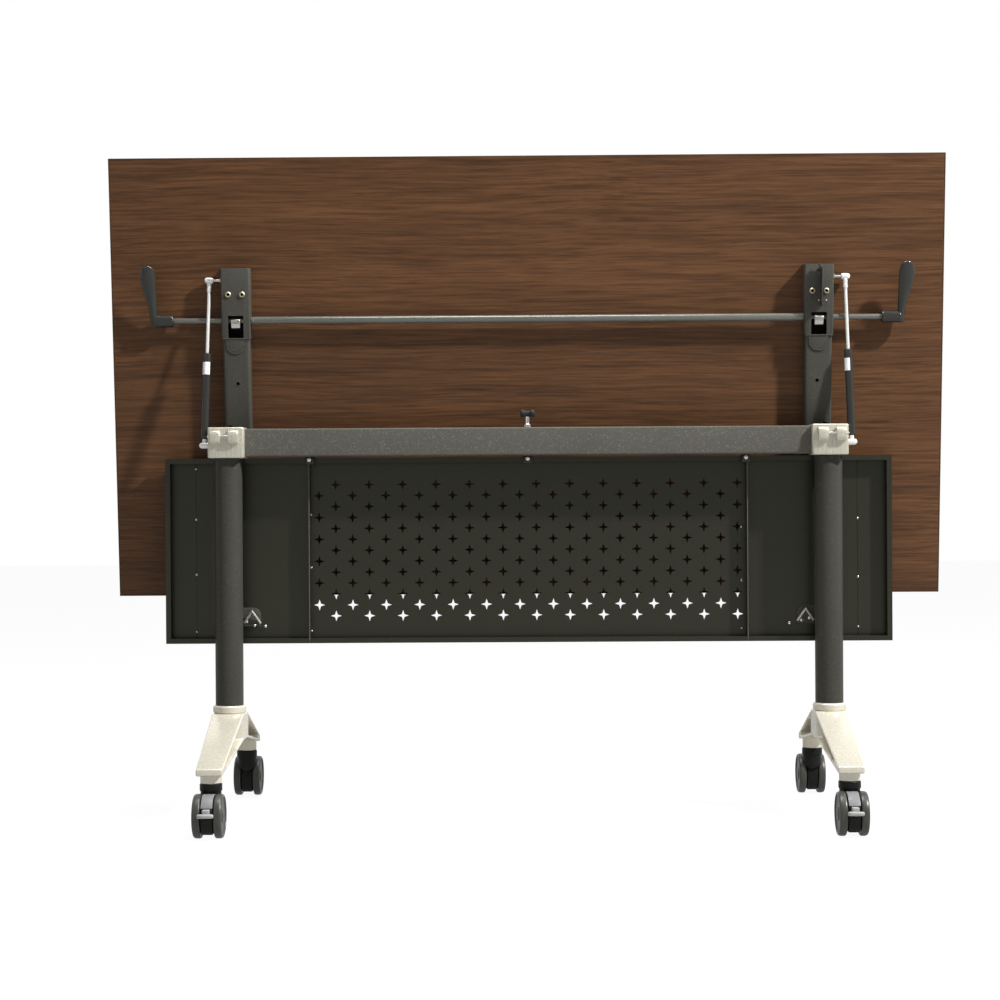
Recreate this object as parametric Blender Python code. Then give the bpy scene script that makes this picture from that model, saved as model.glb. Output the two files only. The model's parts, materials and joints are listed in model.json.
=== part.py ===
"""Flip-top training table on casters, modelled folded, with its top upright and its underside to -Y.

Run it with: blender --background --python part.py
Lengths are in metres, +Z is up and -Y is the user's side. The frame, the legs and the casters are
modelled where they stand. What tilts is modelled as it lies in use, in the frame of the empty
tilt_axis, which turns it up to its folded place: there -Y runs from the hinge to the user's edge
of the top, and +Z from the hinge to the top.
"""

import math

import bmesh
import bpy
from mathutils import Matrix, Vector

# Gaps between pieces that touch, slide and turn.
GAP = 0.0003
SLIDE_GAP = 0.0005
TURN_GAP = 0.0010

# Table top.
TOP_WIDTH = 1.500
TOP_DEPTH = 0.794
TOP_THICKNESS = 0.025
TOP_HEIGHT = 0.750
EDGE_BAND = 0.002
USER_REACH = 0.5088
REST_LEAN = 6.5

# Hinge that the top tilts on.
HINGE_DROP = 0.083
PIVOT_HEIGHT = TOP_HEIGHT - HINGE_DROP
HINGE_PIN_DIAMETER = 0.010
KNUCKLE_RADIUS = 0.015
KNUCKLE_WIDTH = 0.020
PIVOT_BORE_GAP = 0.0004

# Legs: column, foot and bracket on each side.
LEG_X = TOP_WIDTH / 2 - 0.213
COLUMN_DIAMETER = 0.050
COLUMN_WALL = 0.0025
SPIGOT_LENGTH = 0.038
BRACKET_WIDTH = 0.0648
BRACKET_DROP = 0.027
BRACKET_RISE = 0.028
BRACKET_FRONT = 0.034
BRACKET_REAR = 0.024
BRACKET_WALL = 0.005
BRACKET_FACE = 0.004
BRACKET_FLOOR = 0.006
LOCK_NOTCH_DEPTH = 0.004
LOCK_NOTCH_WIDTH = 0.0070
LUG_REACH = 0.011
LUG_WIDTH = 0.018
LUG_SPACING = 0.032
LUG_HEIGHT = 0.025
CROSS_PIN_DIAMETER = 0.005
CROSS_PIN_RISE = 0.011
LUG_DROP = 0.0135

# Feet.
FOOT_HALF_LENGTH = 0.259
FOOT_HUB_WIDTH = 0.057
FOOT_TOE_WIDTH = 0.045
FOOT_HUB_TOP = 0.184
FOOT_HUB_BOTTOM = 0.136
FOOT_TOE_TOP = 0.115
FOOT_TOE_BOTTOM = 0.103
FOOT_COLLAR_TOP = 0.198
FOOT_COLLAR_DIAMETER = 0.059
FOOT_RIM = 0.006
FOOT_WEB = 0.012
NECK_DIAMETER = 0.036
NECK_BOTTOM = 0.0895

# Casters.
STEM_Y = FOOT_HALF_LENGTH - 0.024
STEM_DIAMETER = 0.010
STEM_LENGTH = 0.024
WHEEL_DIAMETER = 0.075
WHEEL_WIDTH = 0.0140
WHEEL_GAP = 0.022
CASTER_TRAIL = 0.025
CASTER_COLLAR_DIAMETER = 0.038
CASTER_COLLAR_HEIGHT = 0.012
CASTER_NECK_DIAMETER = 0.035
CASTER_NECK_BOTTOM = 0.050
CASTER_YAW = 0.0
AXLE_DIAMETER = 0.008
HOOD_INSET = 0.002
HOOD_BOTTOM = 0.009
PEDAL_WIDTH = 0.028
PEDAL_LENGTH = 0.010
PEDAL_THICKNESS = 0.007
PEDAL_ARM_WIDTH = 0.012
PEDAL_PIVOT_HEIGHT = 0.050
PEDAL_PIVOT_TRAIL = 0.047
PEDAL_CLEARANCE = 0.0035

# Beam between the brackets.
BEAM_DEPTH = 0.040
BEAM_HEIGHT = 0.050
BEAM_LIFT = 0.0025
BEAM_WALL = 0.002
BEAM_CORNER = 0.003

# Modesty panel.
PANEL_WIDTH = TOP_WIDTH - 0.190
PANEL_HEIGHT = 0.334
PANEL_FRONT = 0.026
PANEL_DEPTH = 0.020
PANEL_SHEET = 0.0012
PANEL_LIP = 0.009
CENTRE_WIDTH = TOP_WIDTH - 0.710
HANGER_SPACING = CENTRE_WIDTH / 2 - 0.003
HANGER_WIDTH = 0.016
HANGER_DROP = 0.014
STAR_COLUMNS = 13
STAR_ROWS = 13
STAR_PITCH_X = (CENTRE_WIDTH - 0.0022) / STAR_COLUMNS
STAR_PITCH_Z = 0.0198
STAR_SIZE = 0.0200
STAR_WAIST = 0.0068
CLIP_WIDTH = 0.062
CLIP_HEIGHT = 0.034
CLIP_LIFT = 0.030
CLIP_SHEET = 0.003

# Arms that carry the top.
ARM_INSET = 0.014
ARM_WIDTH = 0.048
ARM_SHEET = 0.0025
ARM_REACH = 0.309
ARM_TAIL = 0.015
ARM_CLEARANCE = 0.0035
ARM_PIN_HOLE_REACH = 0.105
ARM_PIN_HOLE_DIAMETER = 0.006

# Latch housings over the upper ends of the arms.
HOUSING_WIDTH = 0.052
HOUSING_SHEET = 0.0015
HOUSING_START = ARM_REACH - 0.124
HOUSING_OVERHANG = 0.003
WINDOW_WIDTH = 0.028
WINDOW_START = ARM_REACH - 0.122
WINDOW_END = ARM_REACH - 0.082
TONGUE_WIDTH = 0.034
TONGUE_LENGTH = 0.026
TONGUE_THICKNESS = 0.0010
CATCH_START = ARM_REACH - 0.071
CATCH_END = ARM_REACH + 0.002
CATCH_THICKNESS = 0.002
CATCH_HEIGHT = 0.016

# Screws that hold the arms to the top.
SCREW_REACH = ARM_REACH - 0.044
SCREW_SPACING = 0.025
SCREW_DIAMETER = 0.005
SCREW_HEAD_DIAMETER = 0.0105
SCREW_HEAD_HEIGHT = 0.0025
SCREW_BITE = 0.015

# Release rod, its cams and its handles.
ROD_REACH = ARM_REACH - 0.091
ROD_OFFSET = 0.042
ROD_DIAMETER = 0.010
SLEEVE_DIAMETER = 0.014
CAM_WIDTH = 0.016
CAM_HUB_RADIUS = 0.0085
CAM_NOSE = 0.0120
CAM_HOOK = 0.0160
HANDLE_X = TOP_WIDTH / 2 - 0.114
HANDLE_BOSS_LENGTH = 0.036
HANDLE_BOSS_DIAMETER = 0.022
HANDLE_LENGTH = 0.100
HANDLE_WIDTH = 0.0272
HANDLE_NECK_WIDTH = 0.0134
HANDLE_THICKNESS = 0.014
HANDLE_LEAN = 0.022

# Lock bars and their springs.
BAR_OFFSET = 0.050
BAR_THICKNESS = 0.003
BAR_TRAVEL = 0.0045
FINGER_THICKNESS = 0.005
FINGER_WIDTH = 0.007
TOOTH_LENGTH = 0.004
TOOTH_HEIGHT = 0.006
SEAT_WIDTH = 0.012
SEAT_THICKNESS = 0.003
SPRING_LENGTH = 0.020
SPRING_RADIUS = 0.0045
SPRING_WIRE = 0.0006
SPRING_TURNS = 4

# Gas struts.
STUD_REACH = ARM_REACH - 0.019
STUD_OFFSET = 0.046
STUD_DIAMETER = 0.005
STRUT_TOP_OUT = 0.0338
STRUT_FOOT_Y = -0.014
STRUT_FOOT_DROP = 0.004
STRUT_CLEARANCE = 0.0012
STRUT_ROD_DIAMETER = 0.006
STRUT_CYLINDER_DIAMETER = 0.014
STRUT_CYLINDER_START = 0.132
STRUT_ROD_INSIDE = 0.018
STRUT_BORE_DEPTH = 0.056
STRUT_EYE_RADIUS = 0.0056
STRUT_EYE_HALF = 0.007
STRUT_COLLAR_LENGTH = 0.015

# Bumper on the beam.
BUMPER_LENGTH = 0.026
BUMPER_DIAMETER = 0.014
BUMPER_SCREW_DIAMETER = 0.008

# Places worked out from the sizes above.
UNDERSIDE = HINGE_DROP - TOP_THICKNESS
TILT_RANGE = math.radians(90.0 - REST_LEAN)
BRACKET_INNER = LEG_X - BRACKET_WIDTH / 2
BRACKET_OUTER = LEG_X + BRACKET_WIDTH / 2
ARM_X = LEG_X - ARM_INSET
BRACKET_BOTTOM = PIVOT_HEIGHT - BRACKET_DROP
BRACKET_TOP = PIVOT_HEIGHT + BRACKET_RISE
CROSS_PIN_HEIGHT = PIVOT_HEIGHT + CROSS_PIN_RISE
ARM_FACE = BRACKET_RISE + ARM_CLEARANCE
ARM_HALF = ARM_WIDTH / 2
ARM_INSIDE = ARM_HALF - ARM_SHEET
HOUSING_FACE = ARM_FACE - GAP - HOUSING_SHEET
KNUCKLE_X = BRACKET_INNER + BRACKET_WALL + 2 * TURN_GAP + KNUCKLE_WIDTH / 2
FINGER_X = KNUCKLE_X + KNUCKLE_WIDTH / 2 + TURN_GAP + 0.0005 + FINGER_WIDTH / 2
WHEEL_RADIUS = WHEEL_DIAMETER / 2
BEAM_BOTTOM = BRACKET_BOTTOM + BEAM_LIFT
BEAM_Z = BEAM_BOTTOM + BEAM_HEIGHT / 2
PANEL_TOP = BRACKET_BOTTOM
PANEL_BOTTOM = PANEL_TOP - PANEL_HEIGHT
CLIP_BOTTOM = PANEL_BOTTOM + CLIP_LIFT
PANEL_BACK = PANEL_FRONT + PANEL_DEPTH
STRUT_TOP_X = LEG_X + STRUT_TOP_OUT
STRUT_FOOT_X = BRACKET_OUTER + STRUT_CLEARANCE + STRUT_CYLINDER_DIAMETER / 2
SIDES = {"left": -1, "right": 1}


# Shapes. Each function returns a bmesh.


def box_mesh(corner, opposite):
    low = Vector([min(pair) for pair in zip(corner, opposite)])
    high = Vector([max(pair) for pair in zip(corner, opposite)])
    bm = bmesh.new()
    place = Matrix.Translation((low + high) / 2) @ Matrix.Diagonal((*(high - low), 1))
    bmesh.ops.create_cube(bm, size=1, matrix=place)
    return bm


def prism_mesh(outline, axis, start, end):
    """An outline in the plane square to axis, extruded from start to end along it."""
    others = [i for i in range(3) if i != axis]
    bm = bmesh.new()
    corners = []
    for point in outline:
        place = [0.0, 0.0, 0.0]
        place[axis] = start
        place[others[0]] = point[0]
        place[others[1]] = point[1]
        corners.append(bm.verts.new(place))
    face = bm.faces.new(corners)
    grown = bmesh.ops.extrude_face_region(bm, geom=[face])["geom"]
    step = Vector((0.0, 0.0, 0.0))
    step[axis] = end - start
    bmesh.ops.translate(bm, verts=[v for v in grown if isinstance(v, bmesh.types.BMVert)], vec=step)
    return bm


def turned_mesh(profile, axis, centre, sides, closed=False):
    """Points (radius, along) spun round the line through centre along axis."""
    outward = Vector((0.0, 0.0, -1.0)) if axis < 2 else Vector((1.0, 0.0, 0.0))
    along = Vector((0.0, 0.0, 0.0))
    along[axis] = 1.0
    centre = Vector(centre)
    bm = bmesh.new()
    points = [bm.verts.new(centre + outward * radius + along * way) for radius, way in profile]
    edges = [bm.edges.new(pair) for pair in zip(points, points[1:])]
    if closed:
        edges.append(bm.edges.new((points[-1], points[0])))
    bmesh.ops.spin(bm, geom=points + edges, cent=centre, axis=along, angle=2 * math.pi, steps=sides)
    bmesh.ops.remove_doubles(bm, verts=bm.verts, dist=1e-6)
    return bm


def rod_mesh(radius, axis, centre, start, end, sides=16):
    return turned_mesh([(0, start), (radius, start), (radius, end), (0, end)], axis, centre, sides)


def loft_mesh(rings):
    """Rings of equally many points joined by quads, with both ends capped."""
    bm = bmesh.new()
    loops = [[bm.verts.new(point) for point in ring] for ring in rings]
    count = len(loops[0])
    for lower, upper in zip(loops, loops[1:]):
        for i in range(count):
            j = (i + 1) % count
            bm.faces.new((lower[i], lower[j], upper[j], upper[i]))
    bm.faces.new(loops[0][::-1])
    bm.faces.new(loops[-1])
    return bm


def arc(centre, radius, start, end, steps):
    """Points on an arc, angles in degrees from the first axis towards the second."""
    points = []
    for i in range(steps + 1):
        angle = math.radians(start + (end - start) * i / steps)
        points.append((centre[0] + radius * math.cos(angle), centre[1] + radius * math.sin(angle)))
    return points


def rounded_rectangle(half_width, half_height, radius, centre=(0.0, 0.0), steps=2):
    points = []
    for sign_x, sign_y, start in ((1, 1, 0), (-1, 1, 90), (-1, -1, 180), (1, -1, 270)):
        corner = (
            centre[0] + sign_x * (half_width - radius),
            centre[1] + sign_y * (half_height - radius),
        )
        points += arc(corner, radius, start, start + 90, steps)
    return points


# Objects, their materials and their modifiers.


def clear_scene():
    for obj in list(bpy.data.objects):
        bpy.data.objects.remove(obj, do_unlink=True)


def make_material(name, colour, roughness, metallic):
    material = bpy.data.materials.new(name)
    material.use_nodes = True
    shader = material.node_tree.nodes["Principled BSDF"]
    shader.inputs["Base Color"].default_value = (*colour, 1.0)
    shader.inputs["Roughness"].default_value = roughness
    shader.inputs["Metallic"].default_value = metallic
    return material


def make_materials():
    looks = {
        "walnut": ((0.095, 0.047, 0.026), 0.45, 0.0),
        "edge": ((0.070, 0.036, 0.020), 0.45, 0.0),
        "arm": ((0.040, 0.038, 0.033), 0.50, 0.3),
        "powder": ((0.050, 0.049, 0.045), 0.55, 0.2),
        "panel": ((0.025, 0.026, 0.022), 0.50, 0.2),
        "nickel": ((0.60, 0.57, 0.51), 0.30, 1.0),
        "polished": ((0.80, 0.78, 0.74), 0.22, 1.0),
        "chrome": ((0.85, 0.85, 0.85), 0.12, 1.0),
        "brass": ((0.70, 0.62, 0.38), 0.35, 1.0),
        "zinc": ((0.78, 0.78, 0.74), 0.30, 1.0),
        "plastic": ((0.020, 0.021, 0.020), 0.35, 0.0),
        "rubber": ((0.015, 0.015, 0.015), 0.70, 0.0),
        "grey": ((0.22, 0.22, 0.22), 0.45, 0.0),
    }
    return {name: make_material(name, *look) for name, look in looks.items()}


def make_empty(name, parent=None, location=(0, 0, 0), rotation=(0, 0, 0)):
    empty = bpy.data.objects.new(name, None)
    empty.parent = parent
    empty.location = location
    empty.rotation_euler = rotation
    bpy.context.scene.collection.objects.link(empty)
    return empty


def make_object(name, bm, material, parent, location=(0, 0, 0)):
    bmesh.ops.recalc_face_normals(bm, faces=bm.faces)
    mesh = bpy.data.meshes.new(name)
    bm.to_mesh(mesh)
    bm.free()
    mesh.shade_smooth()
    mesh.set_sharp_from_angle(angle=math.radians(35))
    mesh.materials.append(material)
    obj = bpy.data.objects.new(name, mesh)
    obj.parent = parent
    obj.location = location
    bpy.context.scene.collection.objects.link(obj)
    return obj


def change(obj, operation, meshes):
    """Join meshes to an object or cut them from it, each as a hidden helper with the same parent."""
    for number, bm in enumerate(meshes):
        name = f"{obj.name}_{operation.lower()}_{len(obj.modifiers)}_{number}"
        helper = make_object(name, bm, obj.data.materials[0], obj.parent, obj.location)
        helper.hide_render = True
        helper.display_type = "WIRE"
        modifier = obj.modifiers.new(name, "BOOLEAN")
        modifier.operation = operation
        modifier.solver = "EXACT"
        modifier.object = helper


def join(obj, *meshes):
    change(obj, "UNION", meshes)


def cut(obj, *meshes):
    change(obj, "DIFFERENCE", meshes)


def bevel(obj, width):
    modifier = obj.modifiers.new("edges", "BEVEL")
    modifier.width = width
    modifier.segments = 1
    modifier.limit_method = "ANGLE"
    modifier.angle_limit = math.radians(40)


# Top and its edge band.


def make_top(tilt, looks):
    half = TOP_WIDTH / 2
    front = -USER_REACH
    back = TOP_DEPTH - USER_REACH
    band = EDGE_BAND + GAP
    board = box_mesh(
        (-half + band, front + band, UNDERSIDE),
        (half - band, back - band, UNDERSIDE + TOP_THICKNESS),
    )
    board = make_object("tabletop", board, looks["walnut"], tilt)
    holes = []
    for side in SIDES.values():
        for place in screw_places(side):
            holes.append(
                rod_mesh(
                    SCREW_DIAMETER / 2 + GAP,
                    2,
                    (place, -SCREW_REACH, 0),
                    UNDERSIDE - 0.002,
                    UNDERSIDE + SCREW_BITE + 2 * GAP,
                    sides=12,
                )
            )
    cut(board, *holes)
    ring = box_mesh((-half, front, UNDERSIDE), (half, back, UNDERSIDE + TOP_THICKNESS))
    ring = make_object("edge_band", ring, looks["edge"], tilt)
    cut(
        ring,
        box_mesh(
            (-half + EDGE_BAND, front + EDGE_BAND, UNDERSIDE - 0.01),
            (half - EDGE_BAND, back - EDGE_BAND, UNDERSIDE + TOP_THICKNESS + 0.01),
        ),
    )


def screw_places(side):
    return [side * (ARM_X + way * SCREW_SPACING / 2) for way in (-1, 1)]


# Arms, housings and what is fixed to them.


def channel_outline(centre, half_width, face, edge, sheet):
    """A U section with its web at face and its open side at edge."""
    return [
        (centre - half_width, edge),
        (centre - half_width, face),
        (centre + half_width, face),
        (centre + half_width, edge),
        (centre + half_width - sheet, edge),
        (centre + half_width - sheet, face + sheet),
        (centre - half_width + sheet, face + sheet),
        (centre - half_width + sheet, edge),
    ]


def make_arm(name, side, tilt, looks):
    centre = side * ARM_X
    edge = UNDERSIDE - GAP
    bm = prism_mesh(
        channel_outline(centre, ARM_HALF, ARM_FACE, edge, ARM_SHEET), 1, ARM_TAIL, -ARM_REACH
    )
    arm = make_object(f"{name}_arm", bm, looks["arm"], tilt)
    half_knuckle = KNUCKLE_WIDTH / 2
    knuckle = [(KNUCKLE_RADIUS, ARM_FACE + ARM_SHEET / 2)]
    knuckle += arc((0, 0), KNUCKLE_RADIUS, 0, -180, 10)
    knuckle += [(-KNUCKLE_RADIUS, ARM_FACE + ARM_SHEET / 2)]
    end_wall = box_mesh(
        (centre - ARM_HALF + ARM_SHEET / 2, -ARM_REACH, ARM_FACE + ARM_SHEET / 2),
        (centre + ARM_HALF - ARM_SHEET / 2, -ARM_REACH + ARM_SHEET, edge),
    )
    stop = spring_stop()
    spring_wall = box_mesh(
        (centre - SEAT_WIDTH / 2, -stop, ARM_FACE + ARM_SHEET / 2),
        (centre + SEAT_WIDTH / 2, -stop - SEAT_THICKNESS, BAR_OFFSET),
    )
    join(
        arm,
        prism_mesh(
            knuckle, 0, side * (KNUCKLE_X - half_knuckle), side * (KNUCKLE_X + half_knuckle)
        ),
        end_wall,
        spring_wall,
    )
    pin = HINGE_PIN_DIAMETER / 2 + PIVOT_BORE_GAP
    finger_half = FINGER_WIDTH / 2 + TURN_GAP
    tooth_start = KNUCKLE_RADIUS + SLIDE_GAP
    slot_end = tooth_start + TOOTH_LENGTH + FINGER_THICKNESS + BAR_TRAVEL + TURN_GAP
    cutters = [
        rod_mesh(pin, 0, (0, 0, 0), centre - ARM_WIDTH, centre + ARM_WIDTH, sides=20),
        rod_mesh(
            ROD_DIAMETER / 2 + SLIDE_GAP,
            0,
            (0, -ROD_REACH, ROD_OFFSET),
            centre - ARM_WIDTH,
            centre + ARM_WIDTH,
        ),
        box_mesh(
            (centre - WINDOW_WIDTH / 2, -WINDOW_START, ARM_FACE - 0.01),
            (centre + WINDOW_WIDTH / 2, -WINDOW_END, ARM_FACE + ARM_SHEET + 0.001),
        ),
        box_mesh(
            (side * (FINGER_X - finger_half), -tooth_start + TURN_GAP, ARM_FACE - 0.01),
            (side * (FINGER_X + finger_half), -slot_end, ARM_FACE + ARM_SHEET + 0.001),
        ),
        rod_mesh(
            ARM_PIN_HOLE_DIAMETER / 2,
            2,
            (side * (ARM_X - 0.002), -ARM_PIN_HOLE_REACH, 0),
            ARM_FACE - 0.01,
            ARM_FACE + ARM_SHEET + 0.001,
            sides=12,
        ),
        stud_hole(side),
    ]
    cutters += [screw_hole(place) for place in screw_places(side)]
    cut(arm, *cutters)


def spring_stop():
    return bar_end() + SPRING_LENGTH + 2 * GAP


def bar_end():
    return ROD_REACH + SLEEVE_DIAMETER + 0.0035


def screw_hole(place):
    return rod_mesh(
        SCREW_DIAMETER / 2 + GAP,
        2,
        (place, -SCREW_REACH, 0),
        HOUSING_FACE - 0.01,
        ARM_FACE + ARM_SHEET + 0.001,
        sides=12,
    )


def stud_hole(side):
    return rod_mesh(
        STUD_DIAMETER / 2 + GAP,
        0,
        (0, -STUD_REACH, STUD_OFFSET),
        side * ARM_X,
        side * (ARM_X + ARM_WIDTH),
        sides=12,
    )


def make_housing(name, side, tilt, looks):
    centre = side * ARM_X
    half = HOUSING_WIDTH / 2
    end = ARM_REACH + HOUSING_OVERHANG
    edge = UNDERSIDE - SLIDE_GAP
    bm = prism_mesh(
        channel_outline(centre, half, HOUSING_FACE, edge, HOUSING_SHEET), 1, -HOUSING_START, -end
    )
    housing = make_object(f"{name}_latch_housing", bm, looks["arm"], tilt)
    end_wall = box_mesh(
        (centre - half + HOUSING_SHEET / 2, -end, HOUSING_FACE + HOUSING_SHEET / 2),
        (centre + half - HOUSING_SHEET / 2, -end + HOUSING_SHEET, edge),
    )
    tongue = [(centre + TONGUE_WIDTH / 2, -HOUSING_START - 0.002)]
    tip = (centre, -HOUSING_START + TONGUE_LENGTH - TONGUE_WIDTH / 2)
    tongue += arc(tip, TONGUE_WIDTH / 2, 0, 180, 10)
    tongue += [(centre - TONGUE_WIDTH / 2, -HOUSING_START - 0.002)]
    back = HOUSING_FACE + HOUSING_SHEET - GAP
    join(housing, end_wall, prism_mesh(tongue, 2, back - TONGUE_THICKNESS, back))
    if side == SIDES["right"]:
        join(housing, *catch_meshes())
    cut(
        housing,
        box_mesh(
            (centre - WINDOW_WIDTH / 2, -WINDOW_START, HOUSING_FACE - 0.01),
            (centre + WINDOW_WIDTH / 2, -WINDOW_END, ARM_FACE),
        ),
        rod_mesh(
            ROD_DIAMETER / 2 + SLIDE_GAP,
            0,
            (0, -ROD_REACH, ROD_OFFSET),
            centre - ARM_WIDTH,
            centre + ARM_WIDTH,
        ),
        stud_hole(side),
        *[screw_hole(place) for place in screw_places(side)],
    )


def catch_meshes():
    """A fin that stands on the right housing, with a slanted ear at its end and a bolt through it."""
    outer = ARM_X + 0.0045
    inner = outer - CATCH_THICKNESS
    back = HOUSING_FACE + HOUSING_SHEET / 2
    front = HOUSING_FACE - CATCH_HEIGHT
    fin = box_mesh((inner, -CATCH_START, front), (outer, -CATCH_END, back))
    ear = [
        (inner + 0.0005, -(CATCH_END - 0.010)),
        (outer - 0.0005, -(CATCH_END - 0.012)),
        (outer - 0.0005, -(CATCH_END - 0.004)),
        (outer - 0.006, -(CATCH_END + 0.004)),
        (outer - 0.009, -(CATCH_END + 0.003)),
    ]
    bolt = (0, -(CATCH_END - 0.015), HOUSING_FACE - 0.0060)
    return (
        fin,
        prism_mesh(ear, 2, front + 0.0005, front + 0.010),
        rod_mesh(0.0035, 0, bolt, inner - 0.009, inner + 0.001, sides=8),
    )


def make_arm_screws(name, side, tilt, looks):
    radius = SCREW_DIAMETER / 2
    head = SCREW_HEAD_DIAMETER / 2
    face = -GAP - SCREW_HEAD_HEIGHT
    length = UNDERSIDE + SCREW_BITE - HOUSING_FACE
    profile = [
        (0, face + 0.0015),
        (head * 0.35, face + 0.0015),
        (head * 0.45, face),
        (head * 0.8, face),
        (head, face + 0.001),
        (head, -GAP),
        (radius, -GAP),
        (radius, length - 0.003),
        (0, length),
    ]
    for place, where in zip(screw_places(side), ("inner", "outer")):
        bm = turned_mesh(profile, 2, (0, 0, 0), 12)
        make_object(
            f"{name}_{where}_arm_screw", bm, looks["brass"], tilt, (place, -SCREW_REACH, HOUSING_FACE)
        )


def make_stud(name, side, tilt, looks):
    radius = STUD_DIAMETER / 2
    nut = radius + 0.002
    wall = ARM_X + ARM_INSIDE
    outside = ARM_X + HOUSING_WIDTH / 2
    tip = STRUT_TOP_X + 0.0025
    profile = [
        (0, wall - 0.0030),
        (nut, wall - 0.0030),
        (nut, wall - GAP),
        (radius, wall - GAP),
        (radius, outside + GAP),
        (nut, outside + GAP),
        (nut, outside + 0.0030),
        (radius, outside + 0.0040),
        (radius, tip),
        (0, tip),
    ]
    profile = [(r, side * (way - STRUT_TOP_X)) for r, way in profile]
    bm = turned_mesh(profile, 0, (0, 0, 0), 12)
    place = (side * STRUT_TOP_X, -STUD_REACH, STUD_OFFSET)
    make_object(f"{name}_strut_stud", bm, looks["zinc"], tilt, place)


# Release rod, sleeve, cams and handles, in the frame of the rod's own axis.


def make_release(release, looks):
    rod_end = HANDLE_X + HANDLE_BOSS_LENGTH - 0.006
    bm = rod_mesh(ROD_DIAMETER / 2, 0, (0, 0, 0), -rod_end, rod_end)
    make_object("release_rod", bm, looks["powder"], release)
    half = ARM_X - HOUSING_WIDTH / 2 - SLIDE_GAP
    inner = ROD_DIAMETER / 2 + GAP
    outer = SLEEVE_DIAMETER / 2
    profile = [(inner, -half), (outer, -half), (outer, half), (inner, half)]
    bm = turned_mesh(profile, 0, (0, 0, 0), 16, closed=True)
    make_object("release_sleeve", bm, looks["powder"], release)
    for name, side in SIDES.items():
        make_cam(name, side, release, looks)
        make_handle(name, side, release, looks)


def make_cam(name, side, release, looks):
    """A hub with a driving nose towards the top and a hook towards the window and the hinge."""
    hub = CAM_HUB_RADIUS
    outline = [(-0.0025, CAM_NOSE), (-0.0040, 0.0074)]
    outline += arc((0, 0), hub, 130, 240, 6)
    outline += [
        (-0.0020, -hub - 0.0045),
        (0.0060, -hub - 0.0060),
        (CAM_HOOK - 0.0030, -hub - 0.0035),
        (CAM_HOOK, -hub + 0.0015),
        (CAM_HOOK - 0.0015, -0.0020),
    ]
    outline += arc((0, 0), hub, 5, 50, 3)
    outline += [(0.0025, CAM_NOSE)]
    centre = side * ARM_X
    bm = prism_mesh(outline, 0, centre - CAM_WIDTH / 2, centre + CAM_WIDTH / 2)
    cam = make_object(f"{name}_release_cam", bm, looks["zinc"], release)
    bore = ROD_DIAMETER / 2 + GAP
    cut(cam, rod_mesh(bore, 0, (0, 0, 0), centre - CAM_WIDTH, centre + CAM_WIDTH))


def make_handle(name, side, release, looks):
    """A paddle standing up from a round boss, both lofted from ellipses."""
    neck_x = HANDLE_X + HANDLE_BOSS_LENGTH - HANDLE_NECK_WIDTH / 2 + 0.006
    neck = HANDLE_NECK_WIDTH / 2
    broad = HANDLE_WIDTH / 2
    depth = HANDLE_THICKNESS / 2
    boss = HANDLE_BOSS_DIAMETER / 2
    lean = broad - neck
    stations = [
        (-boss, 0.0, neck * 0.75, depth * 0.80),
        (-boss + 0.003, 0.0, neck * 0.95, depth),
        (0.010, 0.0, neck, depth),
        (0.030, 0.25 * lean, neck + 0.25 * lean, depth * 0.92),
        (0.050, 0.62 * lean, neck + 0.68 * lean, depth * 0.88),
        (0.070, 0.90 * lean, broad, depth * 0.95),
        (HANDLE_LENGTH - 0.016, 0.96 * lean, broad * 0.97, depth),
        (HANDLE_LENGTH - 0.006, 0.96 * lean, broad * 0.76, depth * 0.85),
        (HANDLE_LENGTH, 0.96 * lean, broad * 0.34, depth * 0.40),
    ]
    rings = []
    for reach, shift, half_width, half_depth in stations:
        ring = []
        away = HANDLE_LEAN * max(reach, 0.0) / HANDLE_LENGTH
        for i in range(14):
            angle = 2 * math.pi * i / 14
            across = side * (neck_x + shift) + half_width * math.cos(angle)
            ring.append((across, -reach, half_depth * math.sin(angle) - away))
        rings.append(ring)
    handle = make_object(f"{name}_handle", loft_mesh(rings), looks["plastic"], release)
    boss_end = HANDLE_X + HANDLE_BOSS_LENGTH
    profile = [
        (0, HANDLE_X),
        (boss - 0.001, HANDLE_X),
        (boss, HANDLE_X + 0.001),
        (boss, boss_end - 0.002),
        (boss - 0.002, boss_end),
        (0, boss_end),
    ]
    profile = [(radius, side * way) for radius, way in profile]
    join(handle, turned_mesh(profile, 0, (0, 0, 0), 20))
    bore_end = boss_end - 0.0055
    bore = rod_mesh(
        ROD_DIAMETER / 2 + GAP, 0, (0, 0, 0), side * (HANDLE_X - 0.01), side * bore_end
    )
    cut(handle, bore)


# Lock bars and springs.


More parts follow.
